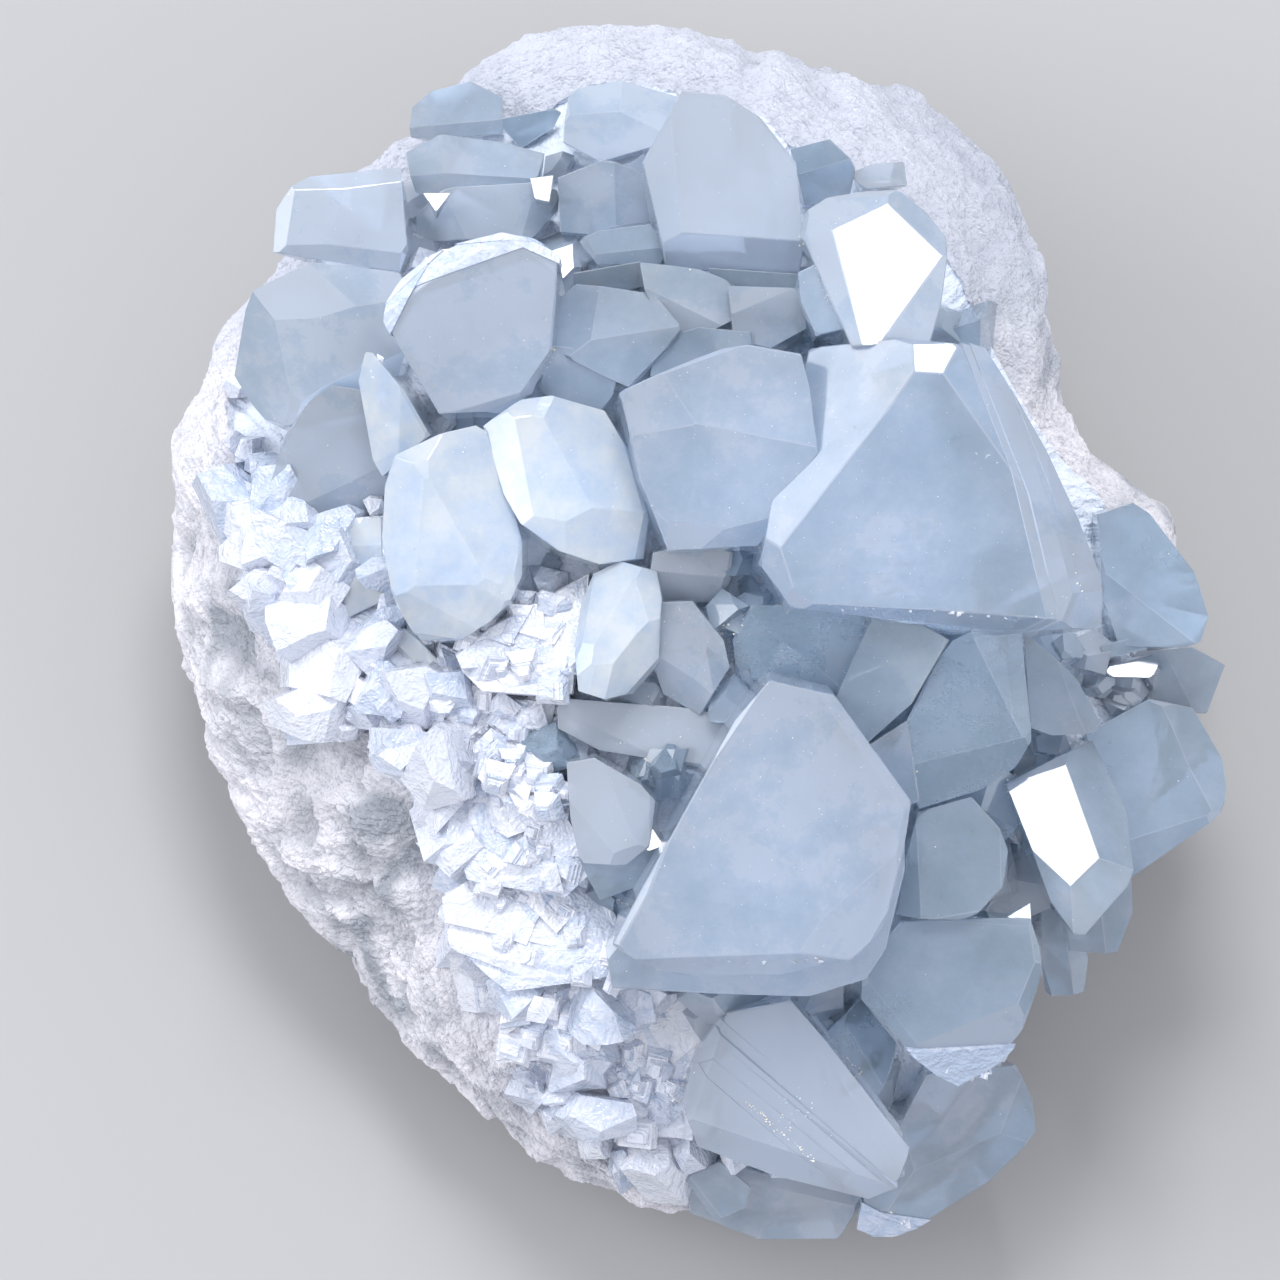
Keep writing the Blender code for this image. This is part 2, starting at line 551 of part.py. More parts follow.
def build_matrix():
    rings = matrix_rings()
    middle = lay_down(Vector(STAND_SHIFT) + Vector((*SPOT_CENTRE, 0)))
    return rings_to_mesh(rings, middle, Vector((0, 0, SEAT_HEIGHT)))


def build_crust():
    """The drusy layer that joins the crystals: a dome of small uneven faces."""
    rows = []
    for level in range(CRUST_RINGS):
        share = 1.0 - level / CRUST_RINGS
        row = []
        for k in range(CRUST_SEGMENTS):
            a = 2 * pi * (k + 0.5 * (level % 2)) / CRUST_SEGMENTS
            rim = around(MATRIX_REACH, a) - around(FLANK_WIDTH, a)
            rim *= 1 + CRUST_EDGE_WANDER * rough(Vector((cos(a), sin(a), 0)), 0.18, 29)
            x = rim * share * cos(a)
            y = rim * share * sin(a)
            spot = Vector((x, y, level * 3.0))
            lift = CRUST_THICKNESS + CRUST_GRAIN * rough(spot, 3.2, 7)
            lift *= min(1.0, 0.45 + 0.4 * level)
            row.append(Vector((x, y, seat_height(x, y) + max(0.9, lift))))
        rows.append(row)
    foot = [Vector((point.x * 0.93, point.y * 0.93, point.z - 9)) for point in rows[0]]
    top = Vector((0, 0, SEAT_HEIGHT + CRUST_THICKNESS))
    return rings_to_mesh([foot] + rows, Vector((0, 0, 12)), top)


def grown(bm, distance):
    """A copy of a mesh pushed outwards along its corner normals."""
    bigger = bm.copy()
    bigger.normal_update()
    moved = [vert.co + vert.normal * distance for vert in bigger.verts]
    for vert, place in zip(bigger.verts, moved):
        vert.co = place
    return bigger


def combined(base, cutter, operation, collection=None):
    """Applies one exact boolean to base and returns its new mesh."""
    change = base.modifiers.new(operation.lower(), "BOOLEAN")
    change.solver = "EXACT"
    change.operation = operation
    if collection:
        change.operand_type = "COLLECTION"
        change.collection = collection
    else:
        change.object = cutter
    view = bpy.context.evaluated_depsgraph_get()
    mesh = bpy.data.meshes.new_from_object(base.evaluated_get(view))
    base.modifiers.clear()
    base.data = mesh
    return base


def keep_largest_body(mesh):
    """Keeps the body with the most corners, without the loose chips round it."""
    bm = bmesh.new()
    bm.from_mesh(mesh)
    left = set(bm.verts)
    bodies = []
    while left:
        seed = left.pop()
        body = {seed}
        edge = [seed]
        while edge:
            vert = edge.pop()
            for link in vert.link_edges:
                other = link.other_vert(vert)
                if other in left:
                    left.remove(other)
                    body.add(other)
                    edge.append(other)
        bodies.append(body)
    bodies.sort(key=len)
    loose = [vert for body in bodies[:-1] for vert in body]
    bmesh.ops.delete(bm, geom=loose, context="VERTS")
    bmesh.ops.dissolve_limit(bm, angle_limit=FLAT_ANGLE, verts=bm.verts, edges=bm.edges)
    bmesh.ops.triangulate(bm, faces=bm.faces)
    bm.to_mesh(mesh)
    bm.free()


def principled(name, color, roughness, transmission=0.0):
    material = bpy.data.materials.new(name)
    material.use_nodes = True
    shader = material.node_tree.nodes["Principled BSDF"]
    shader.inputs["Base Color"].default_value = (*color, 1)
    shader.inputs["Metallic"].default_value = 0
    shader.inputs["Roughness"].default_value = roughness
    shader.inputs["Transmission Weight"].default_value = transmission
    return material


def clear_scene():
    for item in list(bpy.data.objects):
        bpy.data.objects.remove(item, do_unlink=True)


def main():
    clear_scene()
    matrix_mesh = build_matrix()
    seat_mesh = grown(matrix_mesh, SEAT_GAP)
    matrix = standing_object("matrix", matrix_mesh)
    seat = standing_object("seat_cutter", seat_mesh)

    growth = bpy.data.collections.new("growth")
    for crystal in CRYSTALS:
        body = standing_object(crystal.name, convex_body(crystal_faces(crystal)))
        growth.objects.link(body)
    crystals = standing_object("celestite_crystals", build_crust())
    combined(crystals, None, "UNION", growth)
    combined(crystals, seat, "DIFFERENCE")
    keep_largest_body(crystals.data)
    for helper in list(growth.objects) + [seat]:
        bpy.data.objects.remove(helper, do_unlink=True)
    bpy.data.collections.remove(growth)

    matrix.data.materials.clear()
    matrix.data.materials.append(principled("white_matrix", (0.80, 0.80, 0.84), 0.85))
    crystals.data.materials.clear()
    crystals.data.materials.append(
        principled("pale_blue_celestite", (0.62, 0.74, 0.90), 0.12, 0.6))


main()
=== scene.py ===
"""Looks of the celestite cluster: clear pale blue crystals on a white, sugary matrix.

Everything is drawn in the cluster's growth frame, in millimetres: x to the right, y away,
z out of the crystals. stand() leans that frame back onto the resting spot, as the solids
have it. Plan coordinates count in steps of PLAN_STEP, x to the right and y down.
"""

from collections import namedtuple
from math import atan2, cos, hypot, pi, radians, sin, tan
from random import Random

import bmesh
import bpy
import numpy as np
from mathutils import Euler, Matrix, Quaternion, Vector, noise
from mathutils.bvhtree import BVHTree


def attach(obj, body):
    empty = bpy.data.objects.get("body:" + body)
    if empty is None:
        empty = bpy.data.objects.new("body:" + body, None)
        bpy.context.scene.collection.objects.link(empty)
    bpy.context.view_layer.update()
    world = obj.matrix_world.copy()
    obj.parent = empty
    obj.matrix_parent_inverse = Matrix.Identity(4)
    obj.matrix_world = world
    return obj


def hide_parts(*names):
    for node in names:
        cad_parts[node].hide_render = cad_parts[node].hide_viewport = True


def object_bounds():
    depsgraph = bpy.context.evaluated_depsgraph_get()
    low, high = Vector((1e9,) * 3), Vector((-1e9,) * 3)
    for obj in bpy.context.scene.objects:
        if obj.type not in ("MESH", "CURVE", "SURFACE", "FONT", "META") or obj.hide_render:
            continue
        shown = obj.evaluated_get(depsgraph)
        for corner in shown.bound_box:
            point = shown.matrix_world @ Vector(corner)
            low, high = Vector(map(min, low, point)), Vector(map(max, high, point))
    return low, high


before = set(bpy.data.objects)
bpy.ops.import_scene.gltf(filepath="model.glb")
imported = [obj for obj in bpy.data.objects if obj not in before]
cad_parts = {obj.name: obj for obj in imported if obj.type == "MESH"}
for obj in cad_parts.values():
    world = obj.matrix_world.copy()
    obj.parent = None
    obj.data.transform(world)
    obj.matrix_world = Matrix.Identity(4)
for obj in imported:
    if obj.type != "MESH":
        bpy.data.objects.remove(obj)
cad_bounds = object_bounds()

MM = 0.001
PLAN_STEP = 0.07            # mm for one plan unit
PLAN_CENTRE = (700, 640)    # plan point over the middle of the cluster
LEAN_BACK = 10              # degrees from the growth axis to the vertical
STAND_SHIFT = (0.13, 2.42, 0.0)  # mm, puts the middle of the cluster's box over the origin

# matrix, one value for every 15 degrees round the cluster, from +X towards +Y, in mm
MATRIX_REACH = (
    33.5, 33.5, 31.6, 35.4, 40.3, 41.6, 42.6, 44.0, 41.4, 39.6, 39.6, 39.0,
    36.4, 34.9, 34.3, 34.0, 35.3, 38.5, 40.5, 42.0, 39.0, 33.5, 35.0, 36.0,
)
FLANK_WIDTH = (
    3.0, 3.0, 3.5, 6.5, 8.0, 7.0, 4.5, 5.0, 3.0, 2.5, 2.5, 6.0,
    8.0, 11.0, 13.0, 11.0, 7.0, 4.5, 4.0, 3.0, 3.0, 3.0, 3.0, 3.0,
)
FLANK_TOP = (
    21.0, 21.0, 23.0, 26.0, 27.0, 25.0, 22.0, 20.0, 18.0, 19.0, 21.0, 24.0,
    25.0, 26.5, 27.5, 26.0, 23.5, 20.5, 18.0, 16.0, 16.0, 18.0, 20.0, 21.0,
)
WIDEST_HEIGHT = 15.0        # height of the matrix's widest line
SEAT_HEIGHT = 32.0          # top of the matrix, hidden under the crystals
SPOT_SIZE = (17.0, 15.0)    # half axes of the flat resting spot
SPOT_CENTRE = (1.0, -3.5)

WALL_FLARE = 4.0            # degrees a crystal widens downwards
RIM_UNDERCUT = 50.0         # degrees an outer wall leans under at the cluster's edge
ROOT_HEIGHT = 9.0
MIRROR = (90, 20)           # the growth direction that a set of parallel faces shares
UP = Vector((0, 0, 1))
DOWN = Vector((0, 0, -1))

Crystal = namedtuple("Crystal", "name top lean outline ridges kind milk", defaults=("blue", None))

# Each crystal is a convex body under one main face. top is a point on that face: plan
# x, plan y and height. lean is the way the face looks: its azimuth from +X and its angle
# from the growth axis. outline is the face's plan with the walls below it. A ridge is
# two plan points on the main face and the angle by which the face beyond them turns down.
# kind is blue, pale (less light comes through), glassy (nearly white and the clearest) or
# broken (stepped cleavage terraces). milk runs from 0 for teal and 0.4 for blue to 1 for
# white, and is near USUAL_MILK where a row doesn't give it.
CRYSTALS = (
    Crystal("upper_giant", (930, 500, 43.5), (250, 10), (
        (812, 331), (955, 335), (1000, 342), (1045, 415), (1080, 485), (1110, 570), (1117, 622),
        (1000, 630), (875, 617), (790, 607), (757, 560), (772, 505), (803, 350)), (
        ((918, 386), (780, 550), 38), ((780, 550), (795, 602), 45), ((922, 384), (1045, 550), 30),
        ((957, 338), (1047, 548), 46), ((1045, 548), (1068, 620), 40),
        ((795, 603), (1060, 617), 50), ((900, 372), (940, 378), 26)), milk=0.4),
    Crystal("lower_giant", (760, 860, 41.0), (262, 10), (
        (768, 681), (833, 696), (912, 805), (905, 835), (893, 915), (880, 932), (850, 960),
        (780, 976), (700, 978), (640, 966), (612, 943), (640, 890), (690, 800), (735, 720)), (
        ((768, 681), (905, 835), 26), ((858, 860), (790, 960), 10), ((735, 722), (628, 930), 30),
        ((628, 955), (862, 948), 40)), milk=0.52),
    Crystal("lower_shelf", (760, 950, 35.5), (265, 12), (
        (605, 945), (640, 900), (760, 860), (905, 820), (905, 870), (885, 950), (860, 986),
        (820, 995), (700, 991), (612, 986)), ()),
    Crystal("mirror_top", (890, 268, 40.0), MIRROR, (
        (805, 207), (830, 190), (870, 184), (905, 188), (928, 205), (953, 240), (953, 262),
        (943, 300), (940, 345), (850, 350), (803, 240)), (
        ((833, 232), (885, 207), 30), ((885, 207), (937, 260), 34), ((937, 260), (887, 331), 40),
        ((857, 335), (831, 236), 42)), "pale"),
    Crystal("upper_block", (740, 170, 35.5), (262, 14), (
        (680, 85), (722, 90), (760, 115), (795, 160), (803, 245), (797, 277), (735, 272),
        (668, 268), (640, 145)), (
        ((680, 88), (684, 236), 32), ((684, 234), (800, 243), 38)), "pale", 0.6),
    Crystal("block_step", (765, 280, 33.0), (270, 25), (
        (700, 262), (800, 270), (800, 291), (728, 291)), (), "pale"),
    Crystal("centre_blue", (745, 495, 41.0), (250, 17), (
        (613, 396), (640, 380), (685, 362), (722, 345), (752, 341), (800, 349), (807, 380),
        (816, 455), (800, 480), (757, 545), (700, 549), (656, 551), (640, 480), (620, 430)), (
        ((700, 429), (797, 458), 26), ((648, 444), (700, 427), 17), ((652, 506), (692, 546), 22),
        ((690, 540), (775, 512), 30)), milk=0.45),
    Crystal("white_topped", (480, 350, 37.0), (255, 14), (
        (387, 302), (400, 273), (425, 247), (447, 237), (495, 232), (530, 239), (558, 256),
        (556, 300), (552, 348), (532, 394), (500, 412), (440, 415), (402, 352), (386, 322)), (
        ((400, 323), (498, 262), 34), ((498, 263), (556, 301), 26),
        ((540, 380), (440, 412), 30)), milk=0.55),
    Crystal("left_roof", (340, 345, 32.5), (275, 18), (
        (222, 290), (248, 250), (268, 245), (350, 257), (402, 268), (407, 350), (390, 405),
        (295, 428), (245, 410), (215, 370), (197, 345), (203, 303)), (
        ((278, 315), (392, 310), 27), ((278, 314), (300, 425), 38),
        ((405, 345), (300, 402), 20)), "pale", 0.5),
    Crystal("left_back_block", (345, 215, 28.0), (70, 8), (
        (270, 200), (303, 171), (400, 161), (408, 250), (400, 272), (268, 252)), (
        ((285, 196), (402, 184), 26), ((300, 190), (290, 255), 28),
        ((275, 240), (405, 250), 24)), "pale", 0.54),
    Crystal("left_teal", (345, 450, 30.5), (258, 22), (
        (303, 402), (330, 384), (365, 390), (388, 450), (386, 500), (380, 520), (320, 523),
        (300, 515), (261, 490), (283, 432)), (
        ((300, 500), (334, 484), 18), ((303, 405), (290, 505), 26)), milk=0.52),
    Crystal("left_shard", (378, 400, 35.5), (215, 34), (
        (362, 349), (382, 352), (405, 393), (436, 430), (384, 478), (368, 450), (356, 380)), (
        ((381, 352), (398, 440), 34),), "glassy", 0.9),
    Crystal("left_white", (440, 560, 38.0), (235, 12), (
        (382, 480), (390, 455), (430, 434), (466, 421), (482, 430), (506, 490), (520, 540),
        (521, 575), (510, 602), (490, 621), (460, 638), (410, 636), (393, 600), (380, 540)), (
        ((420, 442), (474, 565), 24), ((395, 585), (505, 600), 32),
        ((386, 560), (402, 460), 26)), "glassy", 0.95),
    Crystal("centre_white", (575, 445, 37.5), (70, 10), (
        (482, 424), (520, 400), (550, 396), (602, 410), (626, 450), (640, 490), (646, 520),
        (640, 556), (600, 562), (560, 550), (520, 522), (502, 490)), (
        ((505, 497), (645, 530), 34), ((500, 440), (600, 412), 20)), "glassy", 0.9),
    Crystal("upper_centre_a", (620, 325, 34.5), (110, 18), (
        (553, 300), (575, 284), (655, 296), (682, 330), (660, 357), (630, 387), (600, 375),
        (553, 352)), (
        ((570, 345), (665, 330), 30), ((600, 290), (590, 350), 18))),
    Crystal("upper_centre_b", (690, 300, 34.0), (30, 22), (
        (640, 264), (700, 270), (732, 284), (732, 322), (700, 338), (665, 330), (645, 292)), (
        ((650, 285), (725, 320), 34),), "pale"),
    Crystal("upper_centre_c", (768, 310, 35.0), (255, 18), (
        (728, 284), (800, 289), (806, 330), (770, 350), (733, 342)), (
        ((735, 318), (800, 300), 26),)),
    Crystal("upper_centre_d", (822, 300, 38.0), (195, 30), (
        (797, 275), (826, 262), (852, 330), (815, 338), (800, 305)), (), "pale"),
    Crystal("upper_centre_e", (605, 275, 32.0), (268, 28), (
        (573, 273), (640, 261), (646, 287), (620, 293), (574, 289)), ()),
    Crystal("upper_centre_f", (625, 245, 31.5), (100, 12), (
        (578, 240), (600, 231), (650, 224), (668, 250), (660, 264), (598, 266)), (
        ((590, 252), (662, 240), 34),)),
    Crystal("upper_centre_g", (580, 375, 34.0), (262, 24), (
        (548, 346), (600, 350), (618, 375), (612, 398), (600, 412), (560, 402), (540, 392)), (
        ((555, 360), (610, 385), 22),)),
    Crystal("upper_centre_h", (700, 350, 34.5), (280, 14), (
        (655, 340), (700, 328), (750, 333), (752, 346), (690, 370), (650, 378)), ()),
    Crystal("back_left_a", (475, 160, 26.0), (110, 26), (
        (404, 150), (440, 132), (500, 139), (545, 150), (535, 185), (440, 197), (412, 190)), (
        ((410, 170), (540, 168), 40),)),
    Crystal("back_left_b", (480, 212, 28.0), (260, 20), (
        (408, 190), (440, 182), (530, 176), (560, 180), (556, 210), (532, 238), (430, 240),
        (404, 228)), (
        ((455, 185), (480, 240), 26), ((515, 180), (505, 240), 24)), "pale"),
    Crystal("back_left_mirror_a", (437, 203, 29.3), MIRROR, (
        (423, 194), (452, 194), (437, 214)), ()),
    Crystal("back_left_mirror_b", (542, 190, 29.6), MIRROR, (
        (530, 179), (554, 176), (550, 204), (535, 201)), ()),
    Crystal("back_left_c", (600, 190, 29.0), (258, 20), (
        (556, 150), (602, 156), (642, 140), (650, 222), (600, 236), (560, 232)), (
        ((600, 155), (606, 235), 26),)),
    Crystal("back_left_d", (530, 112, 23.5), (265, 32), (
        (498, 86), (530, 79), (566, 100), (552, 126), (520, 146), (498, 120)), (
        ((505, 100), (560, 110), 40),), "pale"),
    Crystal("back_left_e", (450, 112, 20.5), (120, 20), (
        (411, 105), (430, 89), (470, 79), (502, 95), (502, 132), (440, 137), (407, 135)), (
        ((415, 125), (500, 118), 32),)),
    Crystal("back_centre_a", (620, 110, 26.5), (100, 30), (
        (570, 90), (620, 80), (680, 84), (672, 140), (600, 160), (560, 140)), (
        ((575, 115), (675, 108), 38), ((622, 85), (618, 150), 20)), "pale"),
    Crystal("back_right_a", (880, 172, 30.0), (100, 29), (
        (848, 172), (870, 160), (906, 157), (910, 186), (862, 190)), ()),
    Crystal("back_right_b", (830, 165, 29.5), (160, 24), (
        (790, 150), (830, 140), (856, 165), (850, 195), (805, 205)), (
        ((800, 175), (850, 160), 30),)),
    Crystal("right_wing", (1150, 585, 27.5), (75, 16), (
        (1097, 515), (1135, 502), (1154, 514), (1200, 573), (1214, 618), (1207, 641), (1195, 647),
        (1120, 644), (1103, 600)), (
        ((1105, 560), (1205, 635), 28), ((1150, 512), (1208, 600), 26)), milk=0.3),
    Crystal("right_mirror", (1133, 667, 26.0), MIRROR, (
        (1104, 668), (1155, 654), (1164, 665), (1158, 678), (1110, 677)), ()),
    Crystal("right_bar", (1125, 650, 27.0), (270, 20), (
        (1100, 646), (1148, 634), (1152, 648), (1104, 660)), ()),
    Crystal("right_low", (1180, 680, 21.0), (30, 20), (
        (1110, 655), (1195, 647), (1228, 665), (1209, 714), (1170, 712), (1098, 700)), (
        ((1165, 650), (1195, 712), 24),)),
    Crystal("right_tail", (1175, 765, 25.0), (45, 14), (
        (1085, 735), (1150, 699), (1208, 711), (1241, 765), (1242, 790), (1234, 814), (1160, 905),
        (1120, 880)), (
        ((1150, 702), (1212, 840), 22), ((1118, 830), (1236, 800), 42)), milk=0.28),
    Crystal("mirror_low", (1042, 815, 32.5), MIRROR, (
        (976, 799), (1015, 773), (1057, 756), (1102, 733), (1157, 840), (1151, 921), (1125, 956),
        (1070, 951), (1050, 900)), (
        ((1063, 760), (1097, 857), 38), ((1098, 856), (1068, 885), 42),
        ((977, 799), (1068, 885), 46), ((979, 797), (1060, 759), 34))),
    Crystal("below_mirror", (1090, 910, 26.5), (290, 22), (
        (1060, 880), (1100, 862), (1150, 880), (1150, 921), (1125, 957), (1070, 952)), (
        ((1085, 870), (1100, 955), 28),)),
    Crystal("deep_blue", (965, 715, 36.5), (290, 20), (
        (905, 720), (925, 680), (946, 643), (975, 628), (1026, 631), (1032, 740), (1020, 767),
        (985, 791), (920, 811), (903, 765)), (
        ((948, 645), (1020, 760), 20), ((905, 760), (1020, 725), 18)), milk=0.12),
    Crystal("lilac_slope", (885, 670, 38.0), (205, 26), (
        (872, 617), (916, 621), (948, 640), (912, 702), (851, 757), (836, 696)), (
        ((916, 622), (860, 750), 24),), "pale"),
    Crystal("middle_wedge", (890, 765, 36.0), (250, 28), (
        (848, 757), (905, 720), (918, 800), (905, 806)), (), milk=0.4),
    Crystal("right_step", (1060, 685, 31.5), (15, 24), (
        (1022, 632), (1050, 627), (1080, 680), (1103, 700), (1105, 722), (1098, 733), (1050, 735),
        (1028, 727)), (
        ((1040, 630), (1085, 735), 26),)),
    # teal, and darkened by its low milk: painted shade on a face that lies in shadow
    Crystal("dark_teal", (800, 645, 35.0), (282, 12), (
        (750, 606), (795, 605), (875, 615), (857, 667), (833, 696), (775, 683), (738, 677),
        (733, 640)), (
        ((755, 612), (842, 690), 16),), milk=0.08),
    Crystal("middle_a", (690, 572, 35.5), (268, 22), (
        (653, 553), (700, 544), (732, 553), (729, 580), (720, 602), (690, 602), (658, 604),
        (649, 580)), (
        ((655, 570), (728, 575), 22),), "pale", 0.55),
    Crystal("middle_b", (690, 650, 35.5), (235, 18), (
        (658, 603), (692, 602), (722, 640), (728, 667), (700, 714), (664, 693), (651, 657)), (
        ((690, 604), (708, 705), 30), ((655, 640), (720, 690), 20)), milk=0.5),
    Crystal("clear_middle", (618, 630, 37.0), (100, 12), (
        (594, 575), (620, 562), (656, 572), (661, 600), (656, 662), (630, 691), (604, 698),
        (579, 690), (575, 650), (582, 606)), (
        ((606, 580), (600, 690), 26), ((634, 568), (646, 670), 26),
        ((580, 655), (658, 648), 24)), "glassy", 0.8),
    Crystal("broken_white", (525, 640, 35.0), (120, 18), (
        (449, 645), (490, 624), (530, 590), (560, 569), (592, 575), (584, 620), (577, 691),
        (550, 696), (480, 691), (460, 672)), (
        ((470, 665), (580, 640), 30), ((530, 592), (545, 690), 18)), "broken"),
    Crystal("low_grey", (640, 735, 33.5), (284, 10), (
        (558, 700), (650, 691), (700, 709), (738, 712), (706, 772), (650, 776), (600, 750),
        (558, 743)), (
        ((575, 705), (690, 765), 14),), "pale", 1.0),
    Crystal("pale_lilac", (610, 812, 36.0), (235, 16), (
        (567, 762), (595, 757), (640, 784), (654, 800), (649, 845), (625, 864), (580, 863),
        (571, 820)), (
        ((597, 760), (640, 850), 22), ((575, 800), (620, 860), 18)), "pale", 0.7),
    Crystal("pale_mirror", (651, 836, 35.6), MIRROR, (
        (648, 820), (664, 845), (648, 851), (640, 838)), (), milk=0.8),
    Crystal("pale_foot", (615, 876, 33.5), (270, 30), (
        (578, 858), (656, 846), (642, 884), (600, 900)), (), "pale"),
    Crystal("left_low_a", (455, 730, 31.0), (205, 22), (
        (424, 741), (437, 699), (470, 697), (501, 720), (482, 757), (465, 771), (440, 762)), (
        ((437, 702), (480, 755), 26),), "broken"),
    Crystal("left_low_b", (462, 690, 31.0), (95, 24), (
        (431, 682), (445, 666), (487, 689), (503, 698), (440, 703)), (), "broken"),
    Crystal("left_low_c", (525, 780, 34.0), (115, 16), (
        (474, 780), (490, 744), (520, 737), (547, 764), (572, 800), (566, 823), (530, 814),
        (500, 804)), (
        ((490, 755), (560, 815), 26), ((480, 775), (550, 770), 16)), "broken"),
    Crystal("left_low_d", (520, 720, 32.5), (80, 16), (
        (480, 690), (555, 693), (562, 745), (520, 742), (492, 722)), (
        ((485, 705), (560, 725), 28),), "broken"),
    Crystal("broken_a", (520, 840, 31.5), (155, 16), (
        (440, 812), (480, 790), (565, 806), (598, 868), (560, 902), (462, 884)), (
        ((450, 850), (590, 845), 26), ((500, 795), (520, 895), 20)), "broken"),
    Crystal("broken_b", (535, 930, 30.0), (150, 14), (
        (440, 895), (470, 876), (598, 880), (626, 940), (604, 986), (500, 1002), (446, 950)), (
        ((450, 930), (620, 935), 22), ((530, 880), (545, 1000), 18)), "broken"),
    Crystal("broken_plate", (550, 1015, 27.5), (205, 14), (
        (498, 1002), (550, 964), (602, 949), (610, 978), (590, 1021), (561, 1046), (531, 1076),
        (489, 1079)), (
        ((500, 1015), (600, 985), 20),), "broken"),
    Crystal("iridescent_break", (640, 1070, 25.0), (225, 16), (
        (570, 1062), (606, 998), (685, 990), (712, 1050), (700, 1110), (692, 1162), (622, 1152),
        (584, 1112)), (
        ((610, 1005), (650, 1155), 20), ((580, 1090), (705, 1070), 22)), "broken", 0.75),
    Crystal("bottom_prism", (790, 1090, 29.0), (228, 20), (
        (728, 1011), (790, 999), (824, 1038), (911, 1150), (900, 1177), (870, 1202), (780, 1183),
        (700, 1152), (684, 1102), (700, 1050)), (
        ((790, 1003), (900, 1172), 12), ((806, 1022), (904, 1164), 22),
        ((816, 1032), (908, 1158), 34), ((700, 1120), (880, 1180), 24),
        ((728, 1013), (690, 1130), 26)), milk=0.64),
    Crystal("bottom_right_dark", (865, 1050, 26.0), (25, 24), (
        (822, 1038), (860, 998), (902, 1050), (892, 1070), (882, 1107), (852, 1083)), (
        ((840, 1015), (885, 1090), 22),), milk=0.2),
    Crystal("bottom_foot", (960, 1140, 22.0), (298, 16), (
        (884, 1074), (950, 1070), (1015, 1062), (1036, 1105), (1042, 1140), (1000, 1196),
        (930, 1246), (880, 1259), (838, 1246), (868, 1188)), (
        ((890, 1080), (935, 1245), 20), ((895, 1180), (1035, 1120), 22)), milk=0.4),
    Crystal("bottom_left_foot", (765, 1205, 19.0), (265, 22), (
        (690, 1160), (780, 1180), (868, 1200), (840, 1244), (760, 1246), (690, 1221)), (
        ((700, 1190), (845, 1212), 26),)),
    Crystal("white_tipped", (945, 980, 33.0), (248, 14), (
        (862, 962), (900, 920), (975, 917), (1031, 917), (1048, 965), (1045, 986), (1030, 1041),
        (1012, 1070), (970, 1098), (945, 1082), (905, 1046), (861, 1000)), (
        ((1017, 915), (1034, 1006), 34), ((925, 1042), (1035, 1003), 26),
        ((870, 975), (925, 1050), 22), ((905, 935), (1015, 945), 14)), milk=0.25),
    Crystal("right_clear", (955, 860, 34.5), (105, 16), (
        (896, 920), (902, 870), (917, 811), (970, 796), (1001, 830), (1011, 856), (1005, 891),
        (976, 923)), (
        ((940, 898), (1005, 888), 34), ((925, 815), (945, 915), 22),
        ((985, 812), (975, 920), 24)), milk=0.22),
    Crystal("right_spark", (1020, 912, 33.0), MIRROR, (
        (1004, 916), (1029, 901), (1030, 925)), (), "glassy", 0.6),
    Crystal("right_under", (1068, 945, 22.5), (0, 26), (
        (1044, 880), (1076, 888), (1090, 960), (1086, 992), (1050, 1006), (1042, 960)), (
        ((1060, 885), (1075, 998), 26),)),
    Crystal("bottom_lump", (718, 1195, 20.5), (230, 16), (
        (680, 1181), (720, 1164), (752, 1190), (746, 1216), (714, 1229)), (
        ((700, 1175), (735, 1222), 26),)),
    Crystal("left_edge_a", (305, 612, 23.5), (205, 20), (
        (254, 602), (290, 574), (346, 614), (357, 650), (300, 654), (261, 641)), (
        ((285, 580), (320, 652), 24),), "glassy", 0.85),
    Crystal("left_edge_b", (345, 570, 29.0), (235, 18), (
        (307, 541), (318, 518), (381, 516), (386, 600), (346, 619), (307, 570)), (
        ((312, 549), (382, 545), 30),), "glassy", 0.9),
    Crystal("left_edge_c", (384, 675, 28.0), (262, 24), (
        (354, 650), (400, 647), (412, 680), (395, 711), (367, 693)), (
        ((360, 668), (410, 675), 24),), "glassy", 0.9),
    Crystal("left_edge_d", (405, 635, 30.5), (190, 20), (
        (382, 600), (412, 632), (450, 645), (445, 690), (408, 660), (355, 650), (346, 619)), (
        ((390, 610), (430, 690), 24),), "glassy", 0.9),
    Crystal("left_edge_e", (315, 672, 22.0), (215, 24), (
        (262, 642), (356, 650), (370, 697), (330, 702), (280, 672)), (
        ((300, 648), (340, 700), 20),), "glassy", 0.9),
)


def plan(px, py):
    """Plan units to millimetres from the plan's centre."""
    x = (px - PLAN_CENTRE[0]) * PLAN_STEP
    y = (PLAN_CENTRE[1] - py) * PLAN_STEP
    return Vector((x, y))


def stand(point):
    """A point of the growth frame in millimetres, leaned back onto the resting spot."""
    leaned = Euler((radians(LEAN_BACK), 0, 0)).to_matrix() @ Vector(point)
    return leaned + Vector(STAND_SHIFT)


def around(values, azimuth):
    """A smooth value at an azimuth in radians, between values spaced evenly round."""
    count = len(values)
    place = (azimuth / (2 * pi) * count) % count
    first = int(place)
    t = place - first
    before, here, after, last = (values[(first + k) % count] for k in (-1, 0, 1, 2))
    bend = 2 * here + (after - before) * t
    bend += (2 * before - 5 * here + 4 * after - last) * t * t
    bend += (3 * here - before - 3 * after + last) * t * t * t
    return bend / 2


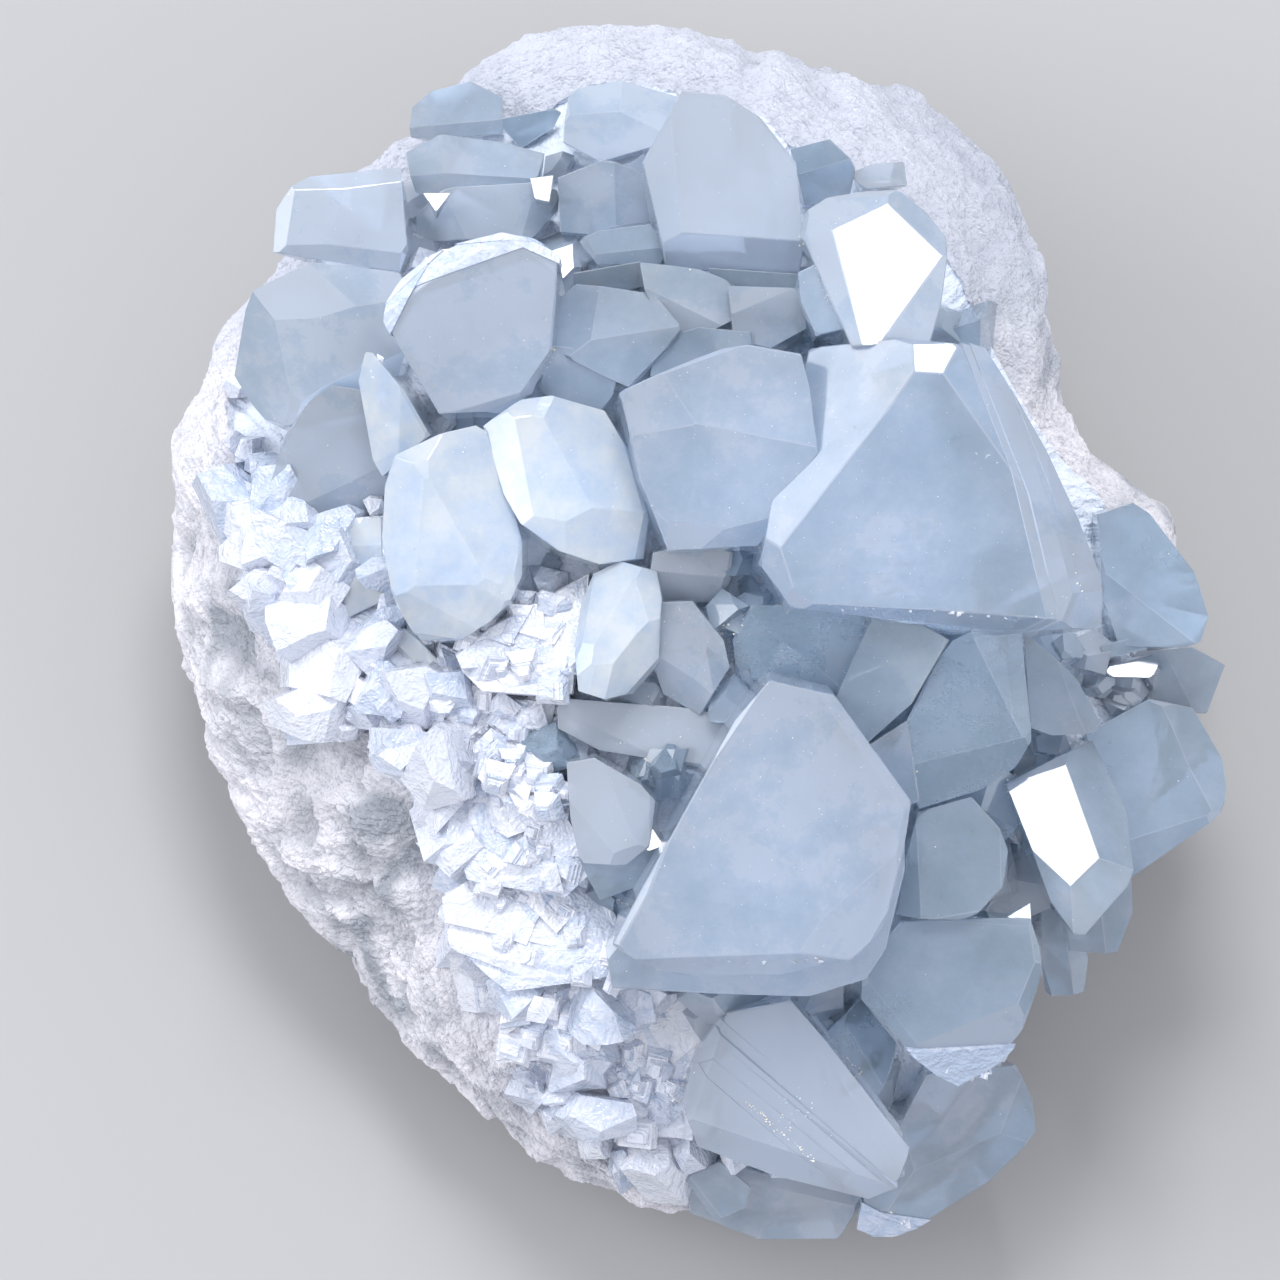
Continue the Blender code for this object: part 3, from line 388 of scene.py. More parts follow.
def direction(azimuth, tilt):
    """The unit vector that looks tilt degrees from +Z, towards an azimuth."""
    a = radians(azimuth)
    t = radians(tilt)
    return Vector((cos(a) * sin(t), sin(a) * sin(t), cos(t)))


def rim_reach(azimuth):
    """How far the matrix's rim is from the middle at an azimuth in radians."""
    return around(MATRIX_REACH, azimuth) - around(FLANK_WIDTH, azimuth)


def seat_height(x, y):
    """Height of the hidden top of the matrix over a plan point, in millimetres."""
    azimuth = atan2(y, x)
    share = min(1.0, hypot(x, y) / rim_reach(azimuth))
    rim_height = around(FLANK_TOP, azimuth)
    return rim_height + (SEAT_HEIGHT - rim_height) * (1 - share * share)


def face_beyond(face_point, face_normal, start, end, turn):
    """The face that meets the main face along start to end and turns down beyond it."""
    along = (end - start).normalized()
    outward = along.cross(face_normal)
    middle = (start + end) / 2
    if outward.dot(face_point - middle) > 0:
        outward = -outward
    angle = radians(turn)
    normal = face_normal * cos(angle) + outward * sin(angle)
    return middle, normal


def wall_below(face_point, face_normal, start, end):
    """The wall under an outline edge: nearly upright, leaning under near the rim."""
    along = (end - start).normalized()
    level = Vector((along.y, -along.x, 0)).normalized()
    middle = (start + end) / 2
    if level.dot(face_point - middle) > 0:
        level = -level
    spread = Vector((middle.x, middle.y, 0))
    reach = spread.length / around(MATRIX_REACH, atan2(middle.y, middle.x))
    outwards = max(0.0, level.dot(spread.normalized()))
    flare = radians(WALL_FLARE - RIM_UNDERCUT * outwards * min(reach, 1.0) ** 2)
    upright = level.cross(along)
    if upright.z < 0:
        upright = -upright
    return middle, level * cos(flare) + upright * sin(flare)


def on_face(face, spot, depth=0.0):
    """The point of a face over a spot of the plan, or straight under it by a depth."""
    point, normal = face
    rise = (spot - point.xy).dot(normal.xy) / normal.z
    return Vector((spot.x, spot.y, point.z - rise - depth))


def crystal_faces(crystal):
    """Every bounding plane of a crystal, as a point and an outward normal."""
    px, py, height = crystal.top
    main = (Vector((*plan(px, py), height)), direction(*crystal.lean))
    faces = [main, (Vector((0, 0, ROOT_HEIGHT)), DOWN)]
    for start, end, turn in crystal.ridges:
        ends = (on_face(main, plan(*corner)) for corner in (start, end))
        faces.append(face_beyond(*main, *ends, turn))
    corners = [on_face(main, plan(*corner)) for corner in crystal.outline]
    for start, end in zip(corners, corners[1:] + corners[:1]):
        faces.append(wall_below(*main, start, end))
    return faces


def cut_by(bm, point, normal):
    """Cuts off what lies beyond a plane and closes the cut."""
    everything = bm.verts[:] + bm.edges[:] + bm.faces[:]
    bmesh.ops.bisect_plane(bm, geom=everything, dist=1e-4, plane_co=point,
                           plane_no=normal, clear_outer=True)
    rim = [edge for edge in bm.edges if edge.is_boundary]
    if rim:
        bmesh.ops.edgeloop_fill(bm, edges=rim)


def convex_body(faces):
    """The closed convex body behind all the faces."""
    bm = bmesh.new()
    bmesh.ops.create_cube(bm, size=300)
    for point, normal in faces:
        cut_by(bm, point, normal)
    bmesh.ops.recalc_face_normals(bm, faces=bm.faces)
    return bm


def rough(point, size, seed):
    """Noise from about -1 to 1 with lumps of a given size in millimetres."""
    return noise.noise(point / size + Vector((seed, 0, 0))) * 1.6


def rough_matrix(point):
    """How far the matrix's broad lumps and pits stand out of its smooth form."""
    lumps = rough(point, 11, 3) * 1.1 + rough(point, 5, 17) * 0.6
    pit = max(0.0, rough(point, 7, 41) - 0.75) * 3.5
    return lumps - pit


# Details, with sizes and heights in millimetres
GIANTS = 8                  # the table's first crystals, which are worn most
GIANT_WEAR = 0.17           # width of the worn strip along an edge of the largest crystals
SMALL_WEAR = 0.09
WORN_EDGE = 0.4             # shortest edge that is worn
WORN_ANGLE = radians(7)     # flattest edge that is worn
CHIPPED_CORNERS = 0.35      # share of the corners that are chipped
CHIP = 0.45                 # deepest chip at a corner
FILLERS = 230               # small crystals that fill the gaps between the large ones
FILLER_SIZES = (0.9, 3.2)   # smallest and largest half width
FILLER_INSET = 2.0          # how far they keep inside the matrix's widest line
FAR_INSET = 8.5             # the same on the far side, with its broad bare rim
FAR_SIDE = radians(115)     # azimuth at which the far side ends
PLATES = 15                 # plates in a terraced crystal
PLATE_STEP = 0.02           # how far each upper plate's sides stand back
SMALL_BLOCKS = 20           # small broken blocks on each broken crystal
CLEAVED_BLOCKS = 150        # broken white blocks in the lower left
BLOCKS_FROM = (250, 560)    # plan corners of the part that they lie in
BLOCKS_TO = (640, 1080)
BLOCKS_LIMIT = -15.5        # how far right and up they reach, in millimetres
MATRIX_STEPS = (560, 150, 40)   # points round, up the outside and across the hidden seat
SUGAR = 0.17                # height of the sugary grains
DEEPEST_PIT = 1.8           # farthest that the matrix stands back from its smooth form
BOX_GAP = 0.02              # how far it keeps inside the box of the solids
SEAM_ANGLE = 0.76           # radians by which crystals turn at a seam that holds dust
SEAM_LENGTH = 0.15          # shortest seam that holds dust
DUST_SPACING = 0.05         # mm of seam to a grain of dust
DUST_BOTTOM = 20            # no dust lies in seams below this height
DUST_SPREAD = 26            # how far from its middle the dust thins out
DUSTIEST = (640, 560)       # plan point in the middle of the dust
SPECKS = 2200               # single specks of dust on the facets
SPECK_CENTRE = (680, 600)   # plan point round which they lie
SPECK_SPREAD = (230, 240)   # how far they scatter from it, in plan units

USUAL_MILK = 0.42
WORN_FROST_AND_HIGHLIGHT = 0.3            # how much milkier a worn edge is: frosting of the wear and a painted edge highlight
PAINTED_FACET_BRILLIANCE = 0.06           # painted brilliance: how far one facet's tone differs from the next, standing in for refraction

# Extra faces at the ends of crystals: plan point, depth in mm, azimuth and tilt of the
# face, and whether a white broken shell covers it. One of them mirrors the softbox.
Tip = namedtuple("Tip", "crystal place depth azimuth tilt white")
TIPS = (
    Tip("upper_giant", (908, 380), 0.45, *MIRROR, False),
    Tip("upper_giant", (1070, 590), 0.5, 330, 40, False),
    Tip("lower_giant", (870, 935), 0.4, 310, 30, False),
    Tip("centre_blue", (650, 535), 0.4, 250, 40, False),
    Tip("white_topped", (424, 290), 0.35, 128, 42, True),
    Tip("white_topped", (500, 247), 0.3, 80, 40, True),
    Tip("white_tipped", (970, 1042), 0.5, 285, 36, True),
    Tip("white_tipped", (1010, 1030), 0.4, 318, 33, False),
    Tip("bottom_foot", (912, 1218), 0.6, 255, 40, True),
    Tip("bottom_foot", (1010, 1160), 0.4, 320, 30, False),
    Tip("left_white", (472, 520), 1.0, 22, 24, False),
    Tip("left_white", (420, 462), 0.9, 118, 33, False),
    Tip("left_white", (402, 550), 0.7, 190, 28, False),
    Tip("left_white", (440, 600), 0.6, 262, 34, False),
    Tip("centre_white", (592, 450), 1.0, 42, 26, False),
    Tip("centre_white", (585, 525), 0.9, 305, 28, False),
    Tip("centre_white", (520, 470), 0.7, 175, 26, False),
    Tip("clear_middle", (600, 600), 0.8, 140, 34, False),
    Tip("clear_middle", (635, 650), 0.8, 330, 36, False),
    Tip("left_shard", (372, 420), 0.5, 200, 34, False),
)

# Crystals with fine ridges along them: two plan points on a line, number of ridges,
# and how far apart they are, in millimetres
RIDGED = {
    "bottom_prism": ((772, 1045), (902, 1155), 9, 0.85),
    "upper_giant": ((1015, 380), (1095, 590), 4, 0.9),
}

SHELL = 0.05                # how far a white shell stands out, in millimetres
SHELL_REACH = 3.0           # how far it reaches down the sides


def new_object(name, data):
    """An object in the scene from a mesh, a light or a camera."""
    made = bpy.data.objects.new(name, data)
    bpy.context.scene.collection.objects.link(made)
    return made


def standing_object(name, bm):
    """An object from a growth-frame mesh in millimetres."""
    for vert in bm.verts:
        vert.co = stand(vert.co) * MM
    mesh = bpy.data.meshes.new(name)
    bm.to_mesh(mesh)
    bm.free()
    return new_object(name, mesh)


def worn_strips(bm, wear, chance):
    """The planes that cut a narrow strip along each sharp edge."""
    strips = []
    for edge in bm.edges:
        if len(edge.link_faces) != 2 or edge.calc_length() < WORN_EDGE:
            continue
        one, other = (face.normal for face in edge.link_faces)
        opening = one.angle(other)
        if opening < WORN_ANGLE:
            continue
        lean = (one + other).normalized()
        width = wear * chance.uniform(0.35, 1.25)
        depth = width * tan(opening / 2) / 2
        middle = (edge.verts[0].co + edge.verts[1].co) / 2
        strips.append((middle - lean * depth, lean))
    return strips


def corner_chips(bm, wear, chance):
    """The planes that cut off some of the corners."""
    chips = []
    for vert in bm.verts:
        if chance.random() < CHIPPED_CORNERS:
            out = vert.normal + Vector([chance.uniform(-0.3, 0.3) for _ in range(3)])
            out.normalize()
            chip = vert.co - out * chance.uniform(0.2, 1) * CHIP * wear / GIANT_WEAR
            if max((other.co - chip).dot(out) for other in bm.verts) < CHIP:
                chips.append((chip, out))
    return chips


def worn_body(faces, wear, milk, chance):
    """A crystal with paler worn edges and corners, frosted by wear and with a painted edge highlight,
    and a painted brilliance of a slightly different tone a facet.
    """
    bm = convex_body(faces)
    layer = bm.faces.layers.float.new("milk")
    for face in bm.faces:
        # painted brilliance: each facet gets its own slightly different tone
        face[layer] = milk + chance.uniform(-PAINTED_FACET_BRILLIANCE, PAINTED_FACET_BRILLIANCE)
    strips = worn_strips(bm, wear, chance)
    bm.normal_update()
    for point, normal in strips + corner_chips(bm, wear, chance):
        cut_by(bm, point, normal)
    # worn strips and chipped corners are paler: frosting of the wear, and a painted highlight along
    # the edges
    for face in bm.faces:
        if face[layer] == 0:
            face[layer] = min(1.0, milk + WORN_FROST_AND_HIGHLIGHT)
    return bm


def mark(bm, milk):
    """Stores how milky a body is on all its faces."""
    layer = bm.faces.layers.float.new("milk")
    for face in bm.faces:
        face[layer] = milk


def root_below(crystal):
    """Height at which a crystal ends, out of sight in the matrix."""
    spot = plan(*crystal.top[:2])
    return seat_height(spot.x, spot.y) - 5.0


def add_tips(crystal, faces):
    """Adds a crystal's extra faces to its planes. Gives each tip with a point on it."""
    tips = []
    for tip in TIPS:
        if tip.crystal == crystal.name:
            start = on_face(faces[0], plan(*tip.place), tip.depth)
            faces.append((start, direction(tip.azimuth, tip.tilt)))
            tips.append((tip, start))
    return tips


def worn_crystal(crystal, number):
    """One large crystal, worn and slightly stepped, and the planes that bound it."""
    chance = Random(number * 7 + 1)
    faces = crystal_faces(crystal)
    faces[1] = (Vector((0, 0, root_below(crystal))), DOWN)
    point, normal = faces[0]
    for _ in range(2):
        swing = direction(chance.uniform(0, 360), chance.uniform(1.0, 3.5))
        bent = (normal + Vector((swing.x, swing.y, 0))).normalized()
        aside = Vector((swing.x, swing.y, 0)) * chance.uniform(20, 60)
        faces.append((point + aside - normal * 0.02, bent))
    shells = []
    for tip, start in add_tips(crystal, faces):
        if tip.white:
            shells += white_shells(faces, tip, start, chance)
    wear = GIANT_WEAR if number < GIANTS else SMALL_WEAR
    usual_milk = USUAL_MILK + chance.uniform(-0.12, 0.14)
    milk = usual_milk if crystal.milk is None else crystal.milk
    ridges = fine_ridges(crystal.name, faces, milk, chance) if crystal.name in RIDGED else []
    return worn_body(faces, wear, milk, chance), faces, shells, ridges


def fine_ridges(name, faces, milk, chance):
    """Long thin growth ridges that stand a little out of a crystal."""
    start, end, count, apart = RIDGED[name]
    foot = plan(*start).to_3d()
    along = (plan(*end).to_3d() - foot).normalized()
    side = Vector((along.y, -along.x, 0))
    slope = Vector((0, 0, 1.1))
    ridges = []
    for k in range(count):
        out = chance.uniform(0.05, 0.2)
        ridge = [(place + way * out, way) for place, way in faces]
        edge = foot + side * apart * (k + chance.uniform(-0.25, 0.25))
        edge.z = faces[0][0].z
        far = edge + side * apart * chance.uniform(0.25, 0.7)
        ridge.append((edge, (slope - side).normalized()))
        ridge.append((far, (slope + side).normalized()))
        bm = convex_body(ridge)
        mark(bm, milk + chance.uniform(-0.04, 0.16))
        ridges.append(bm)
    return ridges


def white_shells(faces, tip, start, chance):
    """Thin white shells with an uneven border over the broken end of a crystal."""
    shells = []
    for k in range(5):
        out = SHELL * (1 + 0.7 * k)
        shell = [(place + way * out, way) for place, way in faces]
        inward = direction(tip.azimuth + 180 + chance.uniform(-24, 24), 80)
        border = start + direction(tip.azimuth, 90) * chance.uniform(0.1, 1.6)
        shell.append((border, inward))
        shell.append((start + DOWN * SHELL_REACH, DOWN))
        bm = convex_body(shell)
        mark(bm, chance.uniform(-0.6, 0.3))
        shells.append(bm)
    return shells


def filler_faces(chance):
    """The bounding planes of a small crystal that stands in a gap, and its tip."""
    turn = chance.uniform(0, 2 * pi)
    share = chance.random() ** 0.5 * (1.07 if cos(turn) > -0.4 else 0.97)
    reach = rim_reach(turn) * share
    x = reach * cos(turn)
    y = reach * sin(turn)
    low, high = FILLER_SIZES
    size = low + (high - low) * chance.random() ** 2.2
    foot = Vector((x, y, seat_height(x, y) - 2.0))
    lean = Vector((x, y, 0)) * chance.uniform(0.002, 0.02)
    lean += Vector((chance.uniform(-0.5, 0.5), chance.uniform(-0.5, 0.5), 1))
    axis = lean.normalized()
    across = axis.orthogonal().normalized()
    tip = foot + axis * (2.5 + size * chance.uniform(0.6, 1.5))
    faces = [(foot, -axis)]
    sides = chance.choice((4, 5, 6))
    start = chance.uniform(0, 360)
    for k in range(sides):
        angle = radians(start + 360 * k / sides + chance.uniform(-14, 14))
        out = Quaternion(axis, angle) @ across
        reach = size * chance.uniform(0.62, 1.1)
        side = out + axis * chance.uniform(-0.05, 0.16)
        faces.append((foot + out * reach, side.normalized()))
        if k < 3:
            slope = axis + out * chance.uniform(0.35, 1.5)
            faces.append((tip + out * size * chance.uniform(0, 0.4), slope.normalized()))
    return faces, tip


def top_of(faces, x, y):
    """Height at which a growth-frame plumb line leaves a convex body, or None beside it."""
    top = 99.0
    low = -99.0
    for point, normal in faces:
        reach = (point - Vector((x, y, 0))).dot(normal)
        if abs(normal.z) < 1e-6:
            if reach < 0:
                return None
        elif normal.z > 0:
            top = min(top, reach / normal.z)
        else:
            low = max(low, reach / normal.z)
    return top if top > low else None


def covered(tip, large_crystals):
    """Whether one of the large crystals stands where a small one would show its tip."""
    ground = seat_height(tip.x, tip.y) + 0.5
    tops = (top_of(faces, tip.x, tip.y) for faces in large_crystals)
    return any(top is not None and top > ground for top in tops)


def cleaved_block(chance, spot, size, depth, bodies):
    """A broken block: a stack of plates that end in terraces, as cleavage leaves them."""
    across = direction(chance.gauss(215, 40), chance.uniform(12, 55))
    along = Quaternion(across, chance.gauss(0.6, 0.25)) @ across.orthogonal().normalized()
    side = across.cross(along)
    plates = chance.choice((4, 5, 6, 7))
    ends = [size * chance.uniform(0.7, 1.3) for _ in range(4)]
    level = -size
    for k in range(plates):
        thick = size * chance.uniform(0.05, 0.22)
        top = spot + across * (level + thick)
        faces = [(top, (across + side * chance.gauss(0, 0.03)).normalized()),
                 (spot - across * (size + depth - PLATE_STEP * k), -across)]
        ways = (along, -along, side, -side)
        for way, end in zip(ways, ends):
            wall = (way + across * chance.uniform(0.1, 0.7)).normalized()
            faces.append((spot + way * end + across * level, wall))
        corner = (along * chance.choice((-1, 1)) + side * chance.choice((-1, 1))).normalized()
        faces.append((spot + corner * ends[0] * 1.05, (corner + across * 0.4).normalized()))
        bm = convex_body(faces)
        mark(bm, chance.random())
        bodies.append(bm)
        level += thick
        ends = [end * chance.uniform(0.68, 0.99) for end in ends]


def terraces(crystal, chance, bodies):
    """A broken crystal: its own outline in plates that step down to one side."""
    faces = crystal_faces(crystal)
    add_tips(crystal, faces)
    point, normal = faces[0]
    corners = [plan(*corner) for corner in crystal.outline]
    reach = max((corner - point.xy).length for corner in corners)
    azimuth = chance.gauss(225, 35)
    drop = 0.0
    for k in range(PLATES):
        lean = direction(chance.uniform(0, 360), chance.uniform(0, 9)) - UP
        back = PLATE_STEP * (PLATES - k)
        plate = [(place - way * back, way) for place, way in faces]
        plate[0] = (point - normal * drop, (normal + lean).normalized())
        for turn in (0, chance.uniform(60, 120)):
            way = direction(azimuth + turn + chance.gauss(0, 25), 80)
            far = reach * (chance.uniform(-0.6, -0.05) + 0.10 * k)
            plate.append((point - normal * drop + way * far, way))
        bm = convex_body(plate)
        mark(bm, chance.random())
        bodies.append(bm)
        drop += chance.uniform(0.04, 0.26)


def joined(name, bodies):
    """One closed object from overlapping bodies."""
    growth = bpy.data.collections.new("growth")
    parts = []
    for bm in bodies:
        bmesh.ops.triangulate(bm, faces=bm.faces)
        parts.append(standing_object("part", bm))
    base = parts[0]
    for body in parts[1:]:
        growth.objects.link(body)
    union = base.modifiers.new("union", "BOOLEAN")
    union.solver = "EXACT"
    union.operation = "UNION"
    union.operand_type = "COLLECTION"
    union.collection = growth
    view = bpy.context.evaluated_depsgraph_get()
    mesh = bpy.data.meshes.new_from_object(base.evaluated_get(view))
    for body in parts:
        bpy.data.objects.remove(body, do_unlink=True)
    bpy.data.collections.remove(growth)
    return new_object(name, mesh)


def fill_gaps(large, groups):
    """Small crystals where no large one stands: white at the left, pale at the rim."""
    chance = Random(11)
    placed = 0
    while placed < FILLERS:
        faces, tip = filler_faces(chance)
        turn = atan2(tip.y, tip.x)
        inset = FAR_INSET if 0 < turn < FAR_SIDE else FILLER_INSET
        if covered(tip, large) or tip.xy.length > around(MATRIX_REACH, turn) - inset:
            continue
        placed += 1
        bm = convex_body(faces)
        leftness = min(1, max(0, (-6 - tip.x - 0.4 * tip.y) / 12))
        outer = min(1, max(0, tip.xy.length / 34 - 0.7) * 4)
        if chance.random() < leftness:
            mark(bm, chance.uniform(0, 0.8))
            groups["white"].append(bm)
            continue
        mark(bm, chance.uniform(0.2, 0.5) + 0.4 * outer)
        groups["pale" if chance.random() < outer else "blue"].append(bm)


def build_crystals():
    """The blue, the pale and the glassy crystals, each joined, and the white bodies."""
    groups = {"blue": [], "pale": [], "glassy": [], "white": []}
    large = []
    for number, crystal in enumerate(CRYSTALS):
        bm, faces, shells, ridges = worn_crystal(crystal, number)
        large.append(faces)
        groups["white"] += shells
        groups["blue"] += ridges
        if crystal.kind != "broken":
            groups[crystal.kind].append(bm)
    fill_gaps(large, groups)
    kinds = ("blue", "pale", "glassy")
    return [joined(f"{kind}_crystals", groups[kind]) for kind in kinds], groups["white"]


def merge_bodies(name, bodies):
    """One object from bodies that may overlap."""
    whole = bmesh.new()
    for bm in bodies:
        mesh = bpy.data.meshes.new("body")
        bm.to_mesh(mesh)
        bm.free()
        whole.from_mesh(mesh)
        bpy.data.meshes.remove(mesh)
    return standing_object(name, whole)


def grid_object(name, points, bottom, top):
    """A closed, faceted object from rows of standing points, low to high, and two ends."""
    rows, count, _ = points.shape
    places = np.vstack([points.reshape(-1, 3), [bottom, top]]) * MM
    here = np.arange(rows * count).reshape(rows, count)
    after = np.roll(here, -1, axis=1)
    quads = np.stack([here[:-1], after[:-1], after[1:], here[1:]], axis=-1).reshape(-1, 4)
    floor = rows * count
    caps = [(floor, b, a) for a, b in zip(here[0], after[0])]
    caps += [(floor + 1, a, b) for a, b in zip(here[-1], after[-1])]
    mesh = bpy.data.meshes.new(name)
    mesh.from_pydata(places.tolist(), [], quads.tolist() + [list(map(int, c)) for c in caps])
    return new_object(name, mesh)


# An eight-sided grain: its corners as shares of its sizes, and its faces
GRAIN_CORNERS = ((1, 0, 0), (-1, 0, 0), (0, 1, 0), (0, -1, 0), (0, 0, 1), (0, 0, -1))
GRAIN_SIDES = ((0, 2, 4), (2, 1, 4), (1, 3, 4), (3, 0, 4), (2, 0, 5), (1, 2, 5), (3, 1, 5), (0, 3, 5))


def grain_object(name, grains):
    """One object from many loose grains, each a middle, three sizes, a turn and a tone."""
    corners = []
    faces = []
    tones = []
    for middle, sizes, turn, tone in grains:
        faces += [tuple(len(corners) + k for k in side) for side in GRAIN_SIDES]
        for shares in GRAIN_CORNERS:
            end = Vector([share * size for share, size in zip(shares, sizes)])
            corners.append((middle + turn @ end) * MM)
            tones.append(tone)
    mesh = bpy.data.meshes.new(name)
    mesh.from_pydata(corners, [], faces)
    made = new_object(name, mesh)
    paint_numbers(made, "tone", np.array(tones))
    return made


def any_turn(chance):
    """A turn of a grain, however it fell."""
    return Euler([chance.uniform(0, 6.28) for _ in range(3)]).to_matrix()


def seam_grains(crystals, chance):
    """Cream dust in the seams between crystals, thickest near the middle."""
    bm = bmesh.new()
    bm.from_mesh(crystals.data)
    bm.edges.ensure_lookup_table()
    centre = stand((*plan(*DUSTIEST), 30))
    grains = []
    for edge in bm.edges:
        if len(edge.link_faces) != 2 or edge.is_convex:
            continue
        one, other = (vert.co / MM for vert in edge.verts)
        length = (one - other).length
        if edge.calc_face_angle(0) < SEAM_ANGLE or length < SEAM_LENGTH:
            continue
        middle = (one + other) / 2
        if middle.z < DUST_BOTTOM:
            continue
        near = max(0.0, 1 - (middle - centre).xy.length / DUST_SPREAD)
        dirty = noise.noise(middle / 2.5) * 1.2 + near * 0.5 - 0.3
        for _ in range(int(length / DUST_SPACING)):
            if chance.random() > dirty:
                continue
            spot = one.lerp(other, chance.random())
            spot += Vector([chance.gauss(0, 0.11) for _ in range(3)])
            size = chance.uniform(0.03, 0.1)
            sizes = [size * chance.uniform(0.6, 1.3) for _ in range(3)]
            tone = 1.0 if chance.random() < 0.04 else chance.uniform(0, 0.5)
            grains.append((spot, sizes, any_turn(chance), tone))
    bm.free()
    return grains


def surface_tree(objects):
    """All the crystals' surfaces, for finding what lies under a plan point."""
    whole = bmesh.new()
    for made in objects:
        whole.from_mesh(made.data)
    tree = BVHTree.FromBMesh(whole)
    whole.free()
    return tree


def surface_under(tree, px, py):
    """Where the growth axis through a plan point meets the crystals, in millimetres."""
    start = stand((*plan(px, py), 70)) * MM
    down = (stand((0, 0, 0)) - stand((0, 0, 1))).normalized()
    place = tree.ray_cast(start, down)[0]
    return place / MM if place else None


def speck_grains(tree, chance):
    """Dust specks that lie on the facets."""
    grains = []
    for _ in range(SPECKS):
        px, py = (chance.gauss(*where) for where in zip(SPECK_CENTRE, SPECK_SPREAD))
        place = surface_under(tree, px, py)
        if place is None:
            continue
        size = chance.uniform(0.015, 0.04) if chance.random() < 0.97 else 0.07
        tone = chance.choice((0.0, 0.1, 0.2, 0.9))
        grains.append((place, (size, size, size * 0.5), any_turn(chance), tone))
    return grains


# Rainbow flecks in the broken places, a painted iridescent reflection: plan point, spread and number
RAINBOW = (
    ((632, 1060), 22, 260),
    ((640, 1120), 16, 90),
    ((792, 1112), 9, 24),
    ((300, 585), 20, 60),
)


def rainbow_flecks(tree, chance):
    """Thin flecks on broken faces, in pale rainbow colours as a painted iridescent reflection."""
    grains = []
    for (px, py), spread, count in RAINBOW:
        for _ in range(count):
            place = surface_under(tree, chance.gauss(px, spread), chance.gauss(py, spread))
            if place is not None:
                size = chance.uniform(0.05, 0.14)
                sizes = (size, size * chance.uniform(0.3, 1), 0.03)
                grains.append((place, sizes, any_turn(chance), chance.random()))
    return grains


# Chipped spots: plan points from and to, spread, number of chips, largest chip in mm
CHIPPED = (
    ((398, 300), (450, 250), 5, 26, 0.45),
    ((1162, 868), (1230, 820), 3, 26, 0.55),
    ((892, 1195), (905, 1246), 4, 14, 0.4),
    ((945, 1066), (1000, 1062), 6, 16, 0.7),
    ((590, 1090), (690, 1150), 12, 26, 0.9),
    ((975, 452), (1000, 478), 3, 7, 0.2),
    ((812, 605), (1060, 618), 2, 18, 0.15),
    ((640, 962), (860, 955), 3, 16, 0.18),
    ((372, 362), (398, 450), 5, 16, 0.3),
    ((425, 640), (505, 655), 8, 12, 0.4),
)


def unstand(point):
    """Back from a standing point to the growth frame."""
    leaned = Vector(point) - Vector(STAND_SHIFT)
    return Euler((radians(LEAN_BACK), 0, 0)).to_matrix().inverted() @ leaned


def chipped_edges(tree, chance, bodies):
    """Small stepped chips on broken edges and tips."""
    for start, end, spread, count, largest in CHIPPED:
        for _ in range(count):
            t = chance.random()
            px, py = (a + (b - a) * t + chance.gauss(0, spread) for a, b in zip(start, end))
            place = surface_under(tree, px, py)
            if place is not None:
                spot = unstand(place)
                cleaved_block(chance, spot, largest * chance.uniform(0.4, 1), 0.1, bodies)


def small_blocks(crystal, chance, bodies):
    """Small broken blocks strewn over a broken crystal."""
    main = crystal_faces(crystal)[0]
    for _ in range(SMALL_BLOCKS):
        corners = [plan(*chance.choice(crystal.outline)) for _ in range(3)]
        spot = on_face(main, sum(corners, Vector((0, 0))) / 3, chance.uniform(-0.1, 0.8))
        cleaved_block(chance, spot, chance.uniform(0.4, 1.1), 0.6, bodies)


def loose_blocks(chance, bodies):
    """Broken blocks over the lower left of the matrix."""
    made = 0
    while made < CLEAVED_BLOCKS:
        spot = plan(*(chance.uniform(*ends) for ends in zip(BLOCKS_FROM, BLOCKS_TO)))
        rim = rim_reach(atan2(spot.y, spot.x))
        if spot.length > rim + 1.5 or spot.x + spot.y * 0.55 > BLOCKS_LIMIT:
            continue
        made += 1
        height = seat_height(spot.x, spot.y) + chance.uniform(0.1, 1.4)
        size = 0.5 + 1.4 * chance.random() ** 1.6
        cleaved_block(chance, Vector((spot.x, spot.y, height)), size, 2.5, bodies)


def build_broken(tree, bodies):
    """The broken white blocks and chips, in one object of overlapping plates."""
    chance = Random(31)
    chipped_edges(tree, chance, bodies)
    for crystal in CRYSTALS:
        if crystal.kind == "broken":
            terraces(crystal, chance, bodies)
            small_blocks(crystal, chance, bodies)
    loose_blocks(chance, bodies)
    return merge_bodies("broken_blocks", bodies)


def paint_numbers(made, name, values):
    """Stores one number for each point, for the materials to read."""
    layer = made.data.attributes.new(name, "FLOAT", "POINT")
    full = np.ones(len(made.data.vertices), dtype=np.float32)
    full[:len(values)] = values
    layer.data.foreach_set("value", full)


